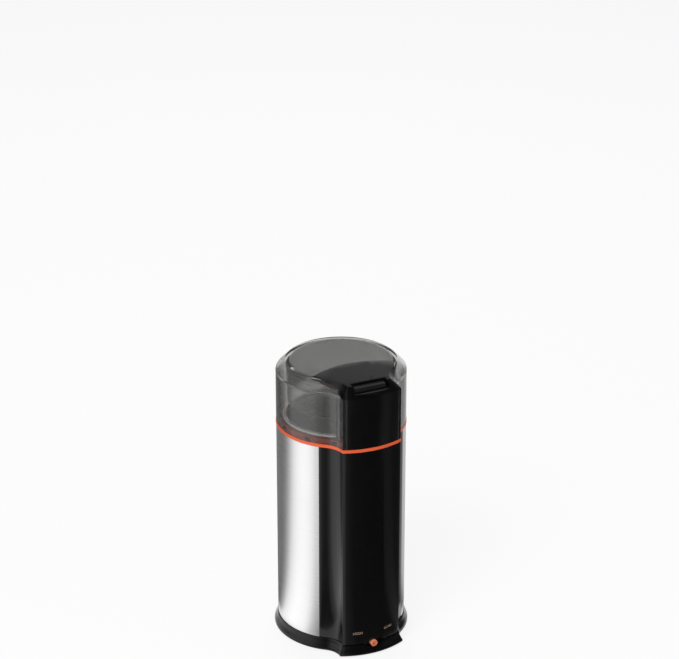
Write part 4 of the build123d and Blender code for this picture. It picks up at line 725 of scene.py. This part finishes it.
# Blade: a stamped stainless strip with bent tips, clamped by a hexagon nut on a ground spindle.
# A moulded dog coupling below takes the motor's turning.
blade_steel = metal(
    "blade_steel", dark=(0.6, 0.6, 0.61), light=(0.76, 0.76, 0.77), rough=0.2, texture=0.0005,
    stretch=(1, 0.1, 1), depth=0.000008,
)
blade_round = 0.00025
nut_round = 0.0002
paint(ground_steel, "blade_spindle")
paint(coupling_black, "driven_coupling")
blade_mesh = eased("grinder_blade", blade_round)
finished(blade_mesh, "bent_blade", "blade", "blade_steel", blade_steel, "grinder_blade")
finished(eased("blade_nut", nut_round), "cap_nut", "blade", "blade_steel", blade_steel, "blade_nut")


# Lid: a smoked clear shell with a gloss black front cover, over an inner skirt and the press button.
# All are moulded. The cover sits in the shell's gap, and the button slides in the cover's notch.
def smoked(name, tint, rough):
    """Clear plastic with a grey tint and faint moulding waves. A wall seen at a glancing angle is painted
    darker, as painted shade.
    """
    wave_size = 0.012
    wave_tint = 1.06
    wave_gloss = 0.02
    wave_strength = 0.2
    wave_depth = 0.00003
    # Painted shade: walls seen at a glancing angle get a much darker tint.
    edge_shade_tint = 0.015
    edge_shade_range = {"From Min": 0.42, "From Max": 0.74}
    material, surface = new_material(name)
    waves = grain(surface, wave_size, detail=1.0)
    facing = surface.node("ShaderNodeLayerWeight", {}, {"Blend": 0.5}, "Facing")
    normal = surface.node("ShaderNodeNewGeometry", output="Normal")
    upward = surface.node("ShaderNodeSeparateXYZ", {}, {0: normal}, "Z")
    wall = 1 - surface.math("ABSOLUTE", upward)
    edge_shade_share = surface.node(
        "ShaderNodeMapRange", {"interpolation_type": "SMOOTHSTEP"}, {"Value": facing * wall, **edge_shade_range}
    )
    clear = blend(surface, waves, tint, [level * wave_tint for level in tint])
    shaded(
        surface,
        Base_Color=blend(surface, edge_shade_share, clear, [level * edge_shade_tint for level in tint]),
        Roughness=rough + waves * wave_gloss,
        IOR=1.49,
        Transmission_Weight=1.0,
        Normal=dented(surface, waves, wave_strength, wave_depth),
    )
    return material


smoked_clear = smoked("smoked_clear", tint=(0.54, 0.54, 0.53), rough=0.0)
smoked_liner = smoked("smoked_liner", tint=(0.47, 0.47, 0.465), rough=0.1)
button_black = plastic(
    "button_black", dark=(0.012, 0.012, 0.013), light=(0.016, 0.016, 0.017), rough=0.34, texture=0.0004,
    depth=0.000008,
)
cover_round = 0.0004
button_round = 0.0003
button_mesh = eased("press_button", button_round)
paint(smoked_clear, "lid_shell")
paint(smoked_liner, "lid_liner")
finished(eased("lid_cover", cover_round), "front_cover", "lid", "gloss_black", gloss_black, "lid_cover")
finished(button_mesh, "grind_button", "press_button", "gloss_black", button_black, "press_button")


# Lid rails: two black plastic strips and a clear bead behind each fairing of the shell.
# They are moulded, and stand upright along the fairing's inner face.
def both_sides(mesh):
    """A mesh and its mirror image on the grinder's other side."""
    bmesh.ops.mirror(
        mesh, geom=list(mesh.verts) + list(mesh.edges) + list(mesh.faces), axis="X", merge_dist=-1
    )
    bmesh.ops.recalc_face_normals(mesh, faces=mesh.faces)
    return mesh


lid_low, lid_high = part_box("lid_shell")
rail_low = lid_low.z + 0.0042
rail_high = lid_high.z - 0.011
rail_length = rail_high - rail_low
# The fairing is hollow-curved: its centre lies outside the lid, and the rails follow its inner face.
fairing_angle = radians(38.5)
fairing_reach = 0.06565
fairing_inside = 0.0196
fairing_middle = Matrix.Translation(
    (-fairing_reach * sin(fairing_angle), -fairing_reach * cos(fairing_angle), (rail_low + rail_high) / 2)
)
strip_turns = (12.5, 26.5)
strip_width = 0.0018
strip_thickness = 0.0005
strips = bmesh.new()
for degrees_round in strip_turns:
    turn = Matrix.Rotation(radians(degrees_round), 4, "Z")
    seat = Matrix.Translation((fairing_inside + strip_thickness / 2, 0, 0))
    shape = Matrix.Diagonal((strip_thickness, strip_width, rail_length, 1))
    bmesh.ops.create_cube(strips, size=1, matrix=fairing_middle @ turn @ seat @ shape)
rounded(strips, list(strips.edges), strip_thickness / 4)
finished(both_sides(strips), "cover_rails", "lid", "gloss_black", base_black)

rod_turn = Matrix.Rotation(radians(19.5), 4, "Z")
rod_radius = 0.0007
rod_seat = Matrix.Translation((fairing_inside + rod_radius, 0, 0))
rod_end_angle = radians(60)
rods = bmesh.new()
bmesh.ops.create_cone(
    rods, cap_ends=True, segments=24, radius1=rod_radius, radius2=rod_radius, depth=rail_length,
    matrix=fairing_middle @ rod_turn @ rod_seat,
)
rounded(rods, [e for e in rods.edges if e.calc_face_angle() > rod_end_angle], rod_radius / 2, segments=3)
finished(both_sides(rods), "clear_beads", "lid", "smoked_clear", smoked_clear)


# Press mechanism: a moulded guide under the notch, held by two zinc-plated screws.
# A coil spring of hard wire lifts the button, whose steel actuator blade reaches down to the plunger.
paint(inner_grey, "press_guide")
paint(zinc, "guide_screws")
paint(blade_steel, "actuator_blade")
wound("button_spring", "press_spring", "lid")
